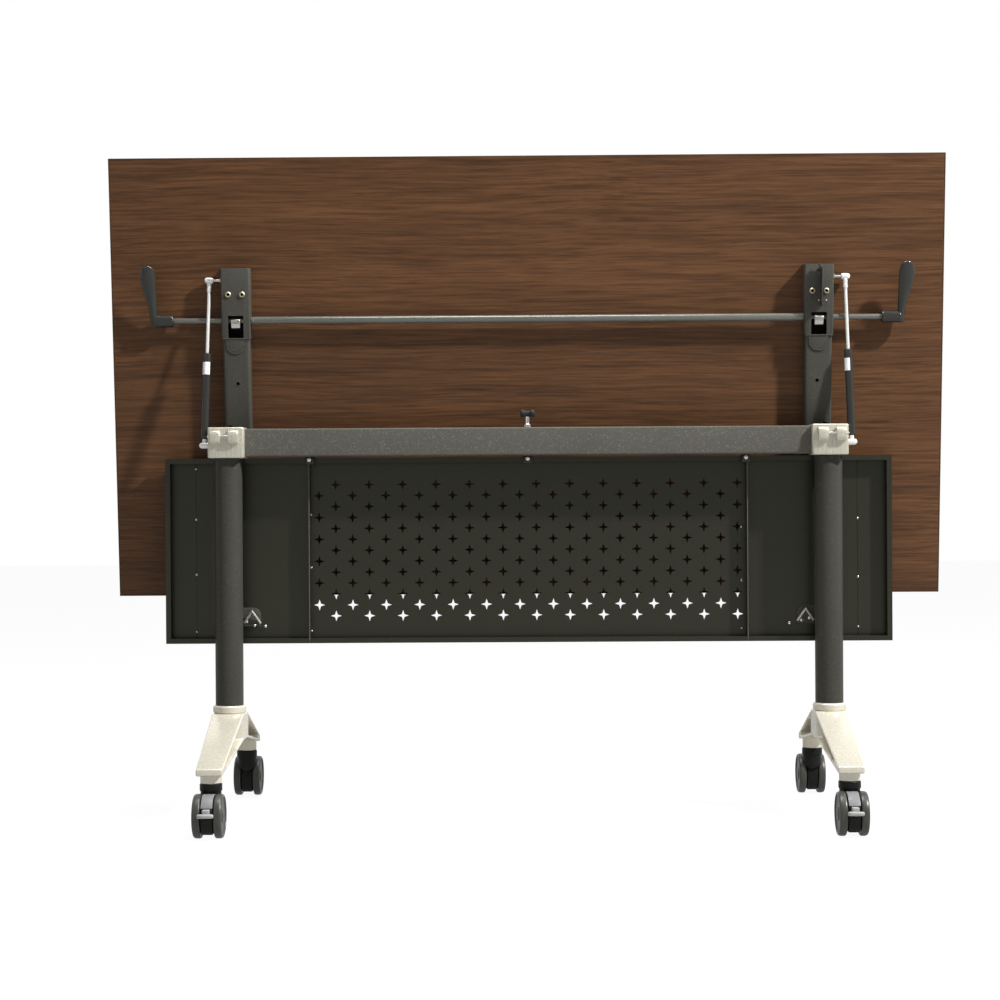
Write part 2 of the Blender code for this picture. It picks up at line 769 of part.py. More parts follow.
def make_lock_bar(name, side, tilt, looks):
    """A strip in the arm, with a toothed finger at the hinge and a spring seat past the rod."""
    centre = side * ARM_X
    half = ARM_INSIDE - GAP
    start = KNUCKLE_RADIUS + SLIDE_GAP + TOOTH_LENGTH
    end = bar_end()
    back = BAR_OFFSET + BAR_THICKNESS
    bm = box_mesh((centre - half, -start, BAR_OFFSET), (centre + half, -end, back))
    bar = make_object(f"{name}_lock_bar", bm, looks["zinc"], tilt)
    middle = BAR_OFFSET + BAR_THICKNESS / 2
    near = -start - GAP
    tooth = TOOTH_HEIGHT / 2
    finger = [
        (near - FINGER_THICKNESS, middle),
        (near, middle),
        (near, tooth),
        (-start + TOOTH_LENGTH, tooth),
        (-start + TOOTH_LENGTH, -tooth),
        (near - FINGER_THICKNESS, -tooth),
    ]
    join(
        bar,
        prism_mesh(
            finger, 0, side * (FINGER_X - FINGER_WIDTH / 2), side * (FINGER_X + FINGER_WIDTH / 2)
        ),
        box_mesh(
            (centre - SEAT_WIDTH / 2, -end + GAP, ROD_OFFSET - SPRING_RADIUS - 0.001),
            (centre + SEAT_WIDTH / 2, -end + GAP + SEAT_THICKNESS, middle),
        ),
    )
    slot_half = CAM_WIDTH / 2 + 2 * TURN_GAP
    cut(
        bar,
        box_mesh(
            (centre - slot_half, -ROD_REACH + 0.010, BAR_OFFSET - 0.01),
            (centre + slot_half, -ROD_REACH - 0.009, back + 0.01),
        ),
    )


def make_spring(name, side, tilt, looks):
    """A coil between the bar's seat and the wall in the arm, its wire a bevelled curve."""
    curve = bpy.data.curves.new(f"{name}_lock_spring", "CURVE")
    curve.dimensions = "3D"
    curve.bevel_depth = SPRING_WIRE
    curve.bevel_resolution = 0
    curve.use_fill_caps = True
    spline = curve.splines.new("POLY")
    per_turn = 8
    count = SPRING_TURNS * per_turn + 1
    spline.points.add(count - 1)
    first = bar_end() + GAP + SPRING_WIRE
    length = SPRING_LENGTH - 2 * SPRING_WIRE
    radius = SPRING_RADIUS - SPRING_WIRE
    for i in range(count):
        angle = 2 * math.pi * i / per_turn
        way = -first - length * i / (count - 1)
        spline.points[i].co = (
            side * ARM_X + radius * math.cos(angle),
            way,
            ROD_OFFSET + radius * math.sin(angle),
            1.0,
        )
    curve.materials.append(looks["zinc"])
    spring = bpy.data.objects.new(f"{name}_lock_spring", curve)
    spring.parent = tilt
    bpy.context.scene.collection.objects.link(spring)


# Gas struts, each in the frame of its upper eye, running down -Z.


def make_strut(name, side, tilt, looks):
    top = Vector((side * STRUT_TOP_X, -STUD_REACH, STUD_OFFSET))
    foot = Vector((side * STRUT_FOOT_X, STRUT_FOOT_Y, -STRUT_FOOT_DROP))
    foot = Matrix.Rotation(-TILT_RANGE, 3, "X").inverted() @ foot
    run = foot - top
    turn = run.to_track_quat("-Z", "Y").to_euler()
    axis = make_empty(f"{name}_strut_axis", tilt, top, turn)
    eye = STRUT_EYE_RADIUS
    half = STRUT_EYE_HALF
    bore = STUD_DIAMETER / 2 + GAP
    profile = [
        (0, half + 0.0020),
        (eye * 0.7, half + 0.0010),
        (eye, half - 0.0030),
        (eye, -half + 0.0010),
        (eye - 0.001, -half),
        (bore, -half),
        (bore, 0.0025 + GAP),
        (0, 0.0025 + GAP),
    ]
    upper = turned_mesh([(r, side * way) for r, way in profile], 0, (0, 0, 0), 14)
    rod = make_object(f"{name}_strut_rod", upper, looks["chrome"], axis)
    radius = STRUT_ROD_DIAMETER / 2
    rod_end = STRUT_CYLINDER_START + STRUT_ROD_INSIDE
    profile = [
        (0, -0.0040),
        (0.0042, -0.0040),
        (0.0042, -0.0200),
        (radius, -0.0220),
        (radius, -rod_end),
        (0, -rod_end),
    ]
    join(rod, turned_mesh(profile, 2, (0, 0, 0), 14))

    outer = STRUT_CYLINDER_DIAMETER / 2
    inner = radius + GAP
    start = STRUT_CYLINDER_START
    end = run.length - eye - 0.006
    profile = [
        (0, -start - STRUT_BORE_DEPTH),
        (inner, -start - STRUT_BORE_DEPTH),
        (inner, -start),
        (outer - 0.001, -start),
        (outer + 0.0004, -start - 0.0015),
        (outer + 0.0004, -start - STRUT_COLLAR_LENGTH),
        (outer, -start - STRUT_COLLAR_LENGTH - 0.0004),
        (outer, -end + 0.004),
        (outer - 0.003, -end),
        (0, -end),
    ]
    bm = turned_mesh(profile, 2, (0, 0, 0), 18)
    make_object(f"{name}_strut_cylinder", bm, looks["plastic"], axis)

    profile = [
        (0, half + 0.0025),
        (eye * 0.65, half + 0.0015),
        (eye, half - 0.0025),
        (eye, -half + 0.0005),
        (eye - 0.0005, -half),
        (0, -half),
    ]
    profile = [(r, side * way) for r, way in profile]
    lower = turned_mesh(profile, 0, (0, 0, -run.length), 14)
    foot_piece = make_object(f"{name}_strut_foot", lower, looks["zinc"], axis)
    shank = rod_mesh(0.004, 2, (0, 0, 0), -end - GAP, -run.length + 0.002, sides=12)
    join(foot_piece, shank)


# Frame: beam, brackets, pins, columns and feet.


def make_beam(frame, looks):
    half = BRACKET_INNER - GAP
    outline = rounded_rectangle(BEAM_DEPTH / 2, BEAM_HEIGHT / 2, BEAM_CORNER, (0, BEAM_Z))
    beam = make_object("beam", prism_mesh(outline, 0, -half, half), looks["powder"], frame)
    inside = rounded_rectangle(
        BEAM_DEPTH / 2 - BEAM_WALL, BEAM_HEIGHT / 2 - BEAM_WALL, 0.001, (0, BEAM_Z), steps=1
    )
    cut(beam, prism_mesh(inside, 0, -half - 0.01, half + 0.01))
    hangers = []
    for place in (-HANGER_SPACING, 0.0, HANGER_SPACING):
        hangers.append(
            box_mesh(
                (place - HANGER_WIDTH / 2, BEAM_DEPTH / 2 - 0.008, BEAM_BOTTOM - HANGER_DROP),
                (place + HANGER_WIDTH / 2, PANEL_FRONT - GAP, BEAM_BOTTOM + BEAM_WALL / 2),
            )
        )
    join(beam, *hangers)


def make_bracket(name, side, frame, looks):
    inner = side * BRACKET_INNER
    outer = side * BRACKET_OUTER
    wall = side * BRACKET_WALL
    bm = box_mesh((inner, -BRACKET_FRONT, BRACKET_BOTTOM), (outer, BRACKET_REAR, BRACKET_TOP))
    bracket = make_object(f"{name}_bracket", bm, looks["nickel"], frame)
    bevel(bracket, 0.0015)
    cavity = box_mesh(
        (inner + wall, -BRACKET_FRONT + BRACKET_FACE, BRACKET_BOTTOM + BRACKET_FLOOR),
        (outer - wall, BRACKET_REAR + 0.01, BRACKET_TOP + 0.01),
    )
    cut(bracket, cavity, corner_mesh(inner - wall, outer + wall))
    pivot = (0, 0, PIVOT_HEIGHT)
    boss_start = KNUCKLE_X + KNUCKLE_WIDTH / 2 + TURN_GAP
    washer_end = KNUCKLE_X - KNUCKLE_WIDTH / 2 - TURN_GAP
    column_inside = COLUMN_DIAMETER / 2 - COLUMN_WALL - GAP
    spigot = rod_mesh(
        column_inside,
        2,
        (side * LEG_X, 0, 0),
        BRACKET_BOTTOM - SPIGOT_LENGTH,
        BRACKET_BOTTOM + BRACKET_FLOOR / 2,
        sides=20,
    )
    beam_gap = BEAM_WALL + GAP
    beam_spigot = rounded_rectangle(
        BEAM_DEPTH / 2 - beam_gap, BEAM_HEIGHT / 2 - beam_gap, BEAM_CORNER / 2, (0, BEAM_Z), steps=1
    )
    beam_spigot = prism_mesh(
        beam_spigot,
        0,
        side * (BRACKET_INNER - SPIGOT_LENGTH),
        side * (BRACKET_INNER + BRACKET_WALL / 2),
    )
    join(
        bracket,
        rod_mesh(
            KNUCKLE_RADIUS,
            0,
            pivot,
            side * boss_start,
            side * (BRACKET_OUTER - BRACKET_WALL / 2),
            sides=24,
        ),
        rod_mesh(
            KNUCKLE_RADIUS - 0.003,
            0,
            pivot,
            side * (BRACKET_INNER + BRACKET_WALL / 2),
            side * washer_end,
            sides=16,
        ),
        spigot,
        beam_spigot,
        *[lug_mesh(place, side) for place in lug_places()],
    )
    pin_bore = rod_mesh(
        HINGE_PIN_DIAMETER / 2 + GAP,
        0,
        pivot,
        side * (BRACKET_INNER + 0.001),
        outer + side * 0.01,
        sides=20,
    )
    lug_bore = rod_mesh(
        CROSS_PIN_DIAMETER / 2 + GAP,
        0,
        (0, cross_pin_y(), CROSS_PIN_HEIGHT),
        inner,
        outer,
        sides=12,
    )
    notch_x = (side * (boss_start - 0.001), side * (FINGER_X + FINGER_WIDTH / 2 + TURN_GAP))
    cut(
        bracket,
        pin_bore,
        lug_bore,
        *[notch_mesh(notch_x, angle) for angle in (0.0, -TILT_RANGE)],
    )


def corner_mesh(start, end):
    """What lies outside an arc about the hinge at the rear upper corner, where the arm swings by."""
    radius = ARM_FACE - TURN_GAP
    beyond = 2 * radius
    upper = math.degrees(math.asin((BRACKET_RISE + GAP) / radius))
    lower = math.degrees(math.acos((BRACKET_REAR + GAP) / radius))
    outline = arc((0, 0), radius, upper, lower, 8)
    outline += [(beyond, outline[-1][1]), (beyond, beyond), (outline[0][0], beyond)]
    return prism_mesh([(y, PIVOT_HEIGHT + z) for y, z in outline], 0, start, end)


def notch_mesh(notch_x, turn):
    """A notch in the boss's rim where the lock finger's tooth points when the top is turned so."""
    bm = box_mesh(
        (notch_x[0], -KNUCKLE_RADIUS - 0.002, -LOCK_NOTCH_WIDTH / 2),
        (notch_x[1], -KNUCKLE_RADIUS + LOCK_NOTCH_DEPTH, LOCK_NOTCH_WIDTH / 2),
    )
    bm.transform(Matrix.Translation((0, 0, PIVOT_HEIGHT)) @ Matrix.Rotation(turn, 4, "X"))
    return bm


def lug_places():
    middle = (BRACKET_INNER + BRACKET_OUTER) / 2 + 0.0025
    return [middle - LUG_SPACING / 2, middle + LUG_SPACING / 2]


def cross_pin_y():
    return -BRACKET_FRONT - LUG_REACH / 2


def lug_mesh(place, side):
    front = -BRACKET_FRONT
    low = CROSS_PIN_HEIGHT - LUG_DROP
    high = low + LUG_HEIGHT
    outline = [
        (front + BRACKET_FACE / 2, high),
        (front, high),
        (front - LUG_REACH * 0.65, high - 0.002),
        (front - LUG_REACH, high - 0.008),
        (front - LUG_REACH, low + 0.008),
        (front - LUG_REACH * 0.65, low + 0.003),
        (front, low),
        (front + BRACKET_FACE / 2, low),
    ]
    return prism_mesh(
        outline, 0, side * (place - LUG_WIDTH / 2), side * (place + LUG_WIDTH / 2)
    )


def make_pins(name, side, frame, looks):
    start = side * (BRACKET_INNER + 0.001 + GAP)
    end = side * (BRACKET_OUTER - SLIDE_GAP)
    place = (0, 0, PIVOT_HEIGHT)
    bm = rod_mesh(HINGE_PIN_DIAMETER / 2, 0, (0, 0, 0), start, end, sides=20)
    make_object(f"{name}_hinge_pin", bm, looks["zinc"], frame, place)
    start = side * (lug_places()[0] - LUG_WIDTH / 2)
    place = (0, cross_pin_y(), CROSS_PIN_HEIGHT)
    bm = rod_mesh(CROSS_PIN_DIAMETER / 2, 0, (0, 0, 0), start, end, sides=12)
    make_object(f"{name}_cross_pin", bm, looks["nickel"], frame, place)


def make_column(name, side, frame, looks):
    outer = COLUMN_DIAMETER / 2
    inner = outer - COLUMN_WALL
    low = FOOT_COLLAR_TOP + GAP
    high = BRACKET_BOTTOM - GAP
    profile = [(inner, low), (outer, low), (outer, high), (inner, high)]
    bm = turned_mesh(profile, 2, (0, 0, 0), 32, closed=True)
    make_object(f"{name}_column", bm, looks["powder"], frame, (side * LEG_X, 0, 0))


def foot_heights(reach):
    """Top and bottom of a foot's arm at a distance from the column, both falling to the toe."""
    hub = FOOT_HUB_WIDTH / 2
    share = max(0.0, (reach - hub) / (FOOT_HALF_LENGTH - hub))
    top = FOOT_HUB_TOP + (FOOT_TOE_TOP - FOOT_HUB_TOP) * share
    bottom = FOOT_HUB_BOTTOM + (FOOT_TOE_BOTTOM - FOOT_HUB_BOTTOM) * share
    return top, bottom


def make_foot(name, side, frame, looks):
    hub = FOOT_HUB_WIDTH / 2
    rings = []
    for way in (-FOOT_HALF_LENGTH, -hub, hub, FOOT_HALF_LENGTH):
        half = hub if abs(way) <= hub else FOOT_TOE_WIDTH / 2
        top, bottom = foot_heights(abs(way))
        rings.append([(-half, way, bottom), (half, way, bottom), (half, way, top), (-half, way, top)])
    place = (side * LEG_X, 0, 0)
    foot = make_object(f"{name}_foot", loft_mesh(rings), looks["polished"], frame, place)
    bevel(foot, 0.002)
    collar = FOOT_COLLAR_DIAMETER / 2
    spigot = COLUMN_DIAMETER / 2 - COLUMN_WALL - GAP
    profile = [
        (0, FOOT_HUB_TOP - 0.02),
        (hub - 0.004, FOOT_HUB_TOP - 0.02),
        (hub - 0.004, FOOT_HUB_TOP - 0.004),
        (collar, FOOT_HUB_TOP + 0.002),
        (collar, FOOT_COLLAR_TOP - 0.003),
        (collar - 0.003, FOOT_COLLAR_TOP),
        (spigot, FOOT_COLLAR_TOP),
        (spigot, FOOT_COLLAR_TOP + SPIGOT_LENGTH - 0.002),
        (spigot - 0.002, FOOT_COLLAR_TOP + SPIGOT_LENGTH),
        (0, FOOT_COLLAR_TOP + SPIGOT_LENGTH),
    ]
    necks = []
    bores = []
    pockets = []
    for end in (-1, 1):
        middle = (0, end * STEM_Y, 0)
        neck_top = foot_heights(STEM_Y)[1] + FOOT_RIM / 2
        necks.append(rod_mesh(NECK_DIAMETER / 2, 2, middle, NECK_BOTTOM, neck_top, sides=20))
        bores.append(
            rod_mesh(
                STEM_DIAMETER / 2 + SLIDE_GAP,
                2,
                middle,
                NECK_BOTTOM - 0.01,
                NECK_BOTTOM + STEM_LENGTH + 0.002,
            )
        )
        pockets += [pocket_mesh(end, way) for way in (-1, 1)]
    join(foot, turned_mesh(profile, 2, (0, 0, 0), 24), *necks)
    cut(foot, *bores, *pockets)


def pocket_mesh(end, way):
    """The recess in one side of a foot's arm, between an upper and a lower rim."""
    near = FOOT_HUB_WIDTH / 2 + 2 * FOOT_RIM
    far = STEM_Y - NECK_DIAMETER / 2
    near_top, near_bottom = foot_heights(near)
    far_top, far_bottom = foot_heights(far)
    outline = [
        (end * near, near_bottom + FOOT_RIM),
        (end * far, far_bottom + FOOT_RIM),
        (end * far, max(far_top - FOOT_RIM, far_bottom + FOOT_RIM + 0.001)),
        (end * near, near_top - FOOT_RIM),
    ]
    return prism_mesh(outline, 0, way * FOOT_WEB / 2, way * FOOT_HUB_WIDTH)


# Modesty panel, its clips, and the bumper.


def tray_meshes(low_x, high_x):
    """Block, hollow and front opening of a tray with edges folded forward and inward."""
    sheet = PANEL_SHEET
    block = box_mesh((low_x, PANEL_FRONT, PANEL_BOTTOM), (high_x, PANEL_BACK, PANEL_TOP))
    hollow = box_mesh(
        (low_x + sheet, PANEL_FRONT + sheet, PANEL_BOTTOM + sheet),
        (high_x - sheet, PANEL_BACK - sheet, PANEL_TOP - sheet),
    )
    return block, hollow


def make_panel(frame, looks):
    centre_half = CENTRE_WIDTH / 2
    seam = centre_half + GAP
    for name, side in SIDES.items():
        ends = sorted((side * (seam + GAP), side * PANEL_WIDTH / 2))
        block, hollow = tray_meshes(*ends)
        wing = make_object(f"{name}_panel_wing", block, looks["panel"], frame)
        lips = (PANEL_LIP, PANEL_SHEET) if side < 0 else (PANEL_SHEET, PANEL_LIP)
        opening = box_mesh(
            (ends[0] + lips[0], PANEL_FRONT - 0.01, PANEL_BOTTOM + PANEL_LIP),
            (ends[1] - lips[1], PANEL_FRONT + 2 * PANEL_SHEET, PANEL_TOP - PANEL_LIP),
        )
        cut(wing, hollow, opening)
    block, hollow = tray_meshes(-centre_half, centre_half)
    centre = make_object("panel_centre", block, looks["panel"], frame)
    opening = box_mesh(
        (-centre_half + PANEL_SHEET, PANEL_FRONT - 0.01, PANEL_BOTTOM + PANEL_LIP),
        (centre_half - PANEL_SHEET, PANEL_FRONT + 2 * PANEL_SHEET, PANEL_TOP - PANEL_LIP),
    )
    cut(centre, hollow, opening, star_mesh())


def star_outline(x, z):
    points = []
    for i in range(8):
        radius = STAR_SIZE / 2 if i % 2 == 0 else STAR_WAIST / 2
        angle = math.radians(45 * i)
        points.append((x + radius * math.cos(angle), z + radius * math.sin(angle)))
    return points


def star_mesh():
    """Prisms for four-pointed holes in staggered rows, in one mesh."""
    middle = (PANEL_TOP + PANEL_BOTTOM) / 2
    whole = bmesh.new()
    for row in range(STAR_ROWS):
        z = middle + (row - (STAR_ROWS - 1) / 2) * STAR_PITCH_Z
        shift = STAR_PITCH_X / 4 if row % 2 == 0 else -STAR_PITCH_X / 4
        for column in range(STAR_COLUMNS):
            x = (column - (STAR_COLUMNS - 1) / 2) * STAR_PITCH_X + shift
            star = prism_mesh(star_outline(x, z), 1, PANEL_BACK - 0.004, PANEL_BACK + 0.004)
            mesh = bpy.data.meshes.new("star")
            star.to_mesh(mesh)
            star.free()
            whole.from_mesh(mesh)
            bpy.data.meshes.remove(mesh)
    return whole


def make_clip(name, side, frame, looks):
    """A plate on the panel's inner face, with a block that reaches the back of the column."""
    back = PANEL_BACK - PANEL_SHEET - GAP
    outer = LEG_X + 0.010
    inner = outer - CLIP_WIDTH
    round_off = 0.014
    outline = [(outer, CLIP_BOTTOM), (outer, CLIP_BOTTOM + CLIP_HEIGHT)]
    outline += arc((inner + round_off, CLIP_BOTTOM + CLIP_HEIGHT - round_off), round_off, 90, 180, 5)
    outline += [(inner, CLIP_BOTTOM)]
    bm = prism_mesh([(side * x, z) for x, z in outline], 1, back, back - CLIP_SHEET)
    clip = make_object(f"{name}_panel_clip", bm, looks["powder"], frame)
    saddle = box_mesh(
        (side * (LEG_X - 0.010), COLUMN_DIAMETER / 2 + GAP, CLIP_BOTTOM + 0.004),
        (side * (LEG_X + 0.0095), back - CLIP_SHEET / 2, CLIP_BOTTOM + CLIP_HEIGHT - 0.004),
    )
    join(clip, saddle)


def make_bumper(frame, looks):
    """A rubber roller with a waist, on a screw that stands on the beam."""
    radius = BUMPER_DIAMETER / 2
    half = BUMPER_LENGTH / 2
    top = PIVOT_HEIGHT + UNDERSIDE - GAP
    axis_z = top - radius
    waist = radius - 0.002
    profile = [
        (0, -half),
        (radius - 0.0015, -half),
        (radius, -half + 0.0015),
        (radius, -0.006),
        (waist, -0.0045),
        (waist, 0.0045),
        (radius, 0.006),
        (radius, half - 0.0015),
        (radius - 0.0015, half),
        (0, half),
    ]
    bm = turned_mesh(profile, 0, (0, 0, 0), 20)
    make_object("bumper", bm, looks["rubber"], frame, (0, 0, axis_z))
    low = BEAM_BOTTOM + BEAM_HEIGHT + GAP
    high = axis_z - waist - GAP
    shank = BUMPER_SCREW_DIAMETER / 2
    profile = [
        (0, low),
        (shank + 0.003, low),
        (shank + 0.003, low + 0.005),
        (shank, low + 0.006),
        (shank, high),
        (0, high),
    ]
    bm = turned_mesh(profile, 2, (0, 0, 0), 12)
    make_object("bumper_screw", bm, looks["chrome"], frame)


# Casters, each in the frame of its swivel stem, with its wheels towards -Y.


def make_caster(name, swivel, braked, looks):
    axle = (0, -CASTER_TRAIL, WHEEL_RADIUS)
    stem = STEM_DIAMETER / 2
    collar = CASTER_COLLAR_DIAMETER / 2
    neck = CASTER_NECK_DIAMETER / 2
    collar_top = NECK_BOTTOM - 2 * GAP
    collar_bottom = collar_top - CASTER_COLLAR_HEIGHT
    profile = [
        (0, collar_top + STEM_LENGTH),
        (stem - 0.001, collar_top + STEM_LENGTH),
        (stem, collar_top + STEM_LENGTH - 0.001),
        (stem, collar_top),
        (collar - 0.001, collar_top),
        (collar, collar_top - 0.001),
        (collar, collar_bottom),
        (neck, collar_bottom - 0.001),
        (neck, CASTER_NECK_BOTTOM + 0.006),
        (neck - 0.005, CASTER_NECK_BOTTOM),
        (0, CASTER_NECK_BOTTOM),
    ]
    bm = turned_mesh(profile, 2, (0, 0, 0), 20)
    fork = make_object(f"{name}_caster_fork", bm, looks["plastic"], swivel)
    half = WHEEL_GAP / 2
    reach = half + WHEEL_WIDTH
    clearance = WHEEL_RADIUS + TURN_GAP
    for way in (-1, 1):
        cut(fork, rod_mesh(clearance, 0, axle, way * half, way * (reach + 0.01), sides=22))
    hood_radius = WHEEL_RADIUS - HOOD_INSET
    drop = math.degrees(math.asin((WHEEL_RADIUS - HOOD_BOTTOM) / hood_radius))
    hood = arc((axle[1], axle[2]), hood_radius, -drop, 180 + drop, 14)
    join(fork, prism_mesh(hood, 0, -half + SLIDE_GAP, half - SLIDE_GAP))
    if braked:
        slot = PEDAL_ARM_WIDTH / 2 + SLIDE_GAP
        cut(
            fork,
            box_mesh(
                (-slot, -PEDAL_PIVOT_TRAIL + 0.008, PEDAL_PIVOT_HEIGHT - 0.014),
                (slot, -CASTER_TRAIL - WHEEL_RADIUS, PEDAL_PIVOT_HEIGHT + 0.008),
            ),
        )
        make_pedal(name, swivel, looks)
    join(fork, rod_mesh(AXLE_DIAMETER / 2, 0, axle, -reach, reach, sides=12))
    for way, where in ((-1, "left"), (1, "right")):
        make_wheel(f"{name}_{where}_wheel", way, swivel, axle, looks)


def make_wheel(name, way, swivel, axle, looks):
    radius = WHEEL_RADIUS
    bore = AXLE_DIAMETER / 2 + GAP
    inner = WHEEL_GAP / 2 + GAP
    outer = WHEEL_GAP / 2 + WHEEL_WIDTH
    profile = [
        (bore, inner),
        (radius - 0.003, inner),
        (radius, inner + 0.003),
        (radius, outer - 0.005),
        (radius - 0.005, outer),
        (bore, outer),
    ]
    profile = [(r, way * x) for r, x in profile]
    bm = turned_mesh(profile, 0, (0, 0, 0), 22, closed=True)
    make_object(name, bm, looks["rubber"], swivel, axle)


def make_pedal(name, swivel, looks):
    """An arm in the hood's slot, with a rounded tongue past the wheels."""
    place = (0, -PEDAL_PIVOT_TRAIL, PEDAL_PIVOT_HEIGHT)
    near = CASTER_TRAIL + WHEEL_RADIUS + PEDAL_CLEARANCE - PEDAL_PIVOT_TRAIL
    far = near + PEDAL_LENGTH
    half = PEDAL_WIDTH / 2
    low = -0.003 - PEDAL_THICKNESS
    outline = [(-half, -near), (half, -near)]
    outline += [(half, -near - PEDAL_LENGTH * 0.35), (half * 0.7, -far + 0.0012)]
    outline += [(0, -far), (-half * 0.7, -far + 0.0012), (-half, -near - PEDAL_LENGTH * 0.35)]
    tongue = prism_mesh(outline, 2, low, low + PEDAL_THICKNESS)
    pedal = make_object(f"{name}_brake_pedal", tongue, looks["grey"], swivel, place)
    arm_half = PEDAL_ARM_WIDTH / 2
    join(pedal, box_mesh((-arm_half, 0.004, -0.006), (arm_half, -near - 0.002, 0.003)))


def centre_on_origin(frame):
    """Move the whole table along Y until its bounding box is centred there."""
    bpy.context.view_layer.update()
    graph = bpy.context.evaluated_depsgraph_get()
    spread = []
    for obj in bpy.context.scene.objects:
        if obj.type == "MESH" and not obj.hide_render:
            mesh = obj.evaluated_get(graph).to_mesh()
            spread += [(obj.matrix_world @ vertex.co).y for vertex in mesh.vertices]
    frame.location.y -= (min(spread) + max(spread)) / 2


def main():
    clear_scene()
    looks = make_materials()
    frame = make_empty("table_frame")
    tilt = make_empty("tilt_axis", frame, (0, 0, PIVOT_HEIGHT), (-TILT_RANGE, 0, 0))
    release = make_empty("release_axis", tilt, (0, -ROD_REACH, ROD_OFFSET))
    make_top(tilt, looks)
    make_release(release, looks)
    make_beam(frame, looks)
    make_panel(frame, looks)
    make_bumper(frame, looks)
    for name, side in SIDES.items():
        make_arm(name, side, tilt, looks)
        make_housing(name, side, tilt, looks)
        make_arm_screws(name, side, tilt, looks)
        make_stud(name, side, tilt, looks)
        make_lock_bar(name, side, tilt, looks)
        make_spring(name, side, tilt, looks)
        make_strut(name, side, tilt, looks)
        make_bracket(name, side, frame, looks)
        make_pins(name, side, frame, looks)
        make_column(name, side, frame, looks)
        make_foot(name, side, frame, looks)
        make_clip(name, side, frame, looks)
        for end, way in (("front", -1), ("rear", 1)):
            turn = side * math.radians(CASTER_YAW) if way < 0 else math.pi
            place = (side * LEG_X, way * STEM_Y, 0)
            swivel = make_empty(f"{end}_{name}_swivel", frame, place, (0, 0, turn))
            make_caster(f"{end}_{name}", swivel, way < 0, looks)
    centre_on_origin(frame)


main()
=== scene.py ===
"""Dresses the flip-top training table: its steel, castings, casters, struts and wood, in metres."""

import json
import math

import bmesh
import bpy
import numpy as np
from bpy.props import FloatProperty, FloatVectorProperty, IntProperty, PointerProperty
from mathutils import Matrix, Vector


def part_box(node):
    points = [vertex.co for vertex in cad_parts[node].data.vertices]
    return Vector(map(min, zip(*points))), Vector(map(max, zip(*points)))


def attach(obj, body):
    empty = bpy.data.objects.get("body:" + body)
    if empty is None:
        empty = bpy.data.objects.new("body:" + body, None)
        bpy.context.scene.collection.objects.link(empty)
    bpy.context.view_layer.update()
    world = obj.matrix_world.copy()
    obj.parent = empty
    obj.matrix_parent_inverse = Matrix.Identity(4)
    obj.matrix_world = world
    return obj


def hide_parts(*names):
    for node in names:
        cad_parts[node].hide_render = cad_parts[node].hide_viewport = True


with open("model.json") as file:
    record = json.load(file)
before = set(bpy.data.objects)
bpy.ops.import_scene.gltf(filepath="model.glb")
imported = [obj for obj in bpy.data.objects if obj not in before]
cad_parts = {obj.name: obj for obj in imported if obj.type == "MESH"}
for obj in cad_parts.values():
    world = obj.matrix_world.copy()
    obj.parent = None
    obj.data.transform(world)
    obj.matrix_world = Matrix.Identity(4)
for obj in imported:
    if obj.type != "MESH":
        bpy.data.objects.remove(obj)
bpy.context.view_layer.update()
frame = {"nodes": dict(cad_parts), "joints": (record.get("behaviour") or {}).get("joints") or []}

bl_info = {
    "name": "Flip-top training table",
    "version": (1, 0, 0),
    "blender": (4, 5, 0),
    "location": "View3D > Sidebar > Table",
    "description": "Builds the dressed pieces of a folding table on casters around its packed frame",
    "category": "Add Mesh",
}

SIDES = {"left": -1, "right": 1}
JOINTS = {joint["name"]: joint for joint in frame["joints"]}
PIVOT = np.array(JOINTS["top_tilt"]["pos_m"])
TILT_ANGLE = math.radians(JOINTS["top_tilt"]["range_deg"][1])
COLUMN_LOW, COLUMN_HIGH = np.array(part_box("right_column"))
COLUMN_RADIUS = (COLUMN_HIGH[0] - COLUMN_LOW[0]) / 2
LEG_X, LEG_Y = ((COLUMN_LOW + COLUMN_HIGH) / 2)[:2]


class TableSizes(bpy.types.PropertyGroup):
    """Sizes of the dressed pieces."""

    casting_radius: FloatProperty(
        name="Casting radius", description="Rounding of the feet", default=0.0026, unit="LENGTH"
    )
    round_sides: IntProperty(
        name="Sides of round pieces", description="Steps round a column or wheel", default=72
    )
    label_height: FloatProperty(
        name="Label", description="Height of a strut's blank label", default=0.0225, unit="LENGTH"
    )


class TableColours(bpy.types.PropertyGroup):
    """Colours of the finishes, in linear light."""

    walnut: FloatVectorProperty(
        name="Walnut", description="Laminate between its streaks", subtype="COLOR",
        default=(0.112, 0.05, 0.0205),
    )
    paint: FloatVectorProperty(
        name="Paint", description="Powder coat of columns and beam", subtype="COLOR",
        default=(0.06, 0.058, 0.05),
    )
    panel: FloatVectorProperty(
        name="Panel", description="Coat of the modesty panel", subtype="COLOR",
        default=(0.0095, 0.0095, 0.0052),
    )
    casting: FloatVectorProperty(
        name="Casting", description="Polished feet", subtype="COLOR",
        default=(0.7, 0.66, 0.55),
    )
    plastic: FloatVectorProperty(
        name="Plastic", description="Handles and struts", subtype="COLOR",
        default=(0.026, 0.026, 0.023),
    )


# Surfaces, each an array of points with its faces.


MOST_OF_EDGE = 0.48     # what a rounded corner may take of the edge beside it


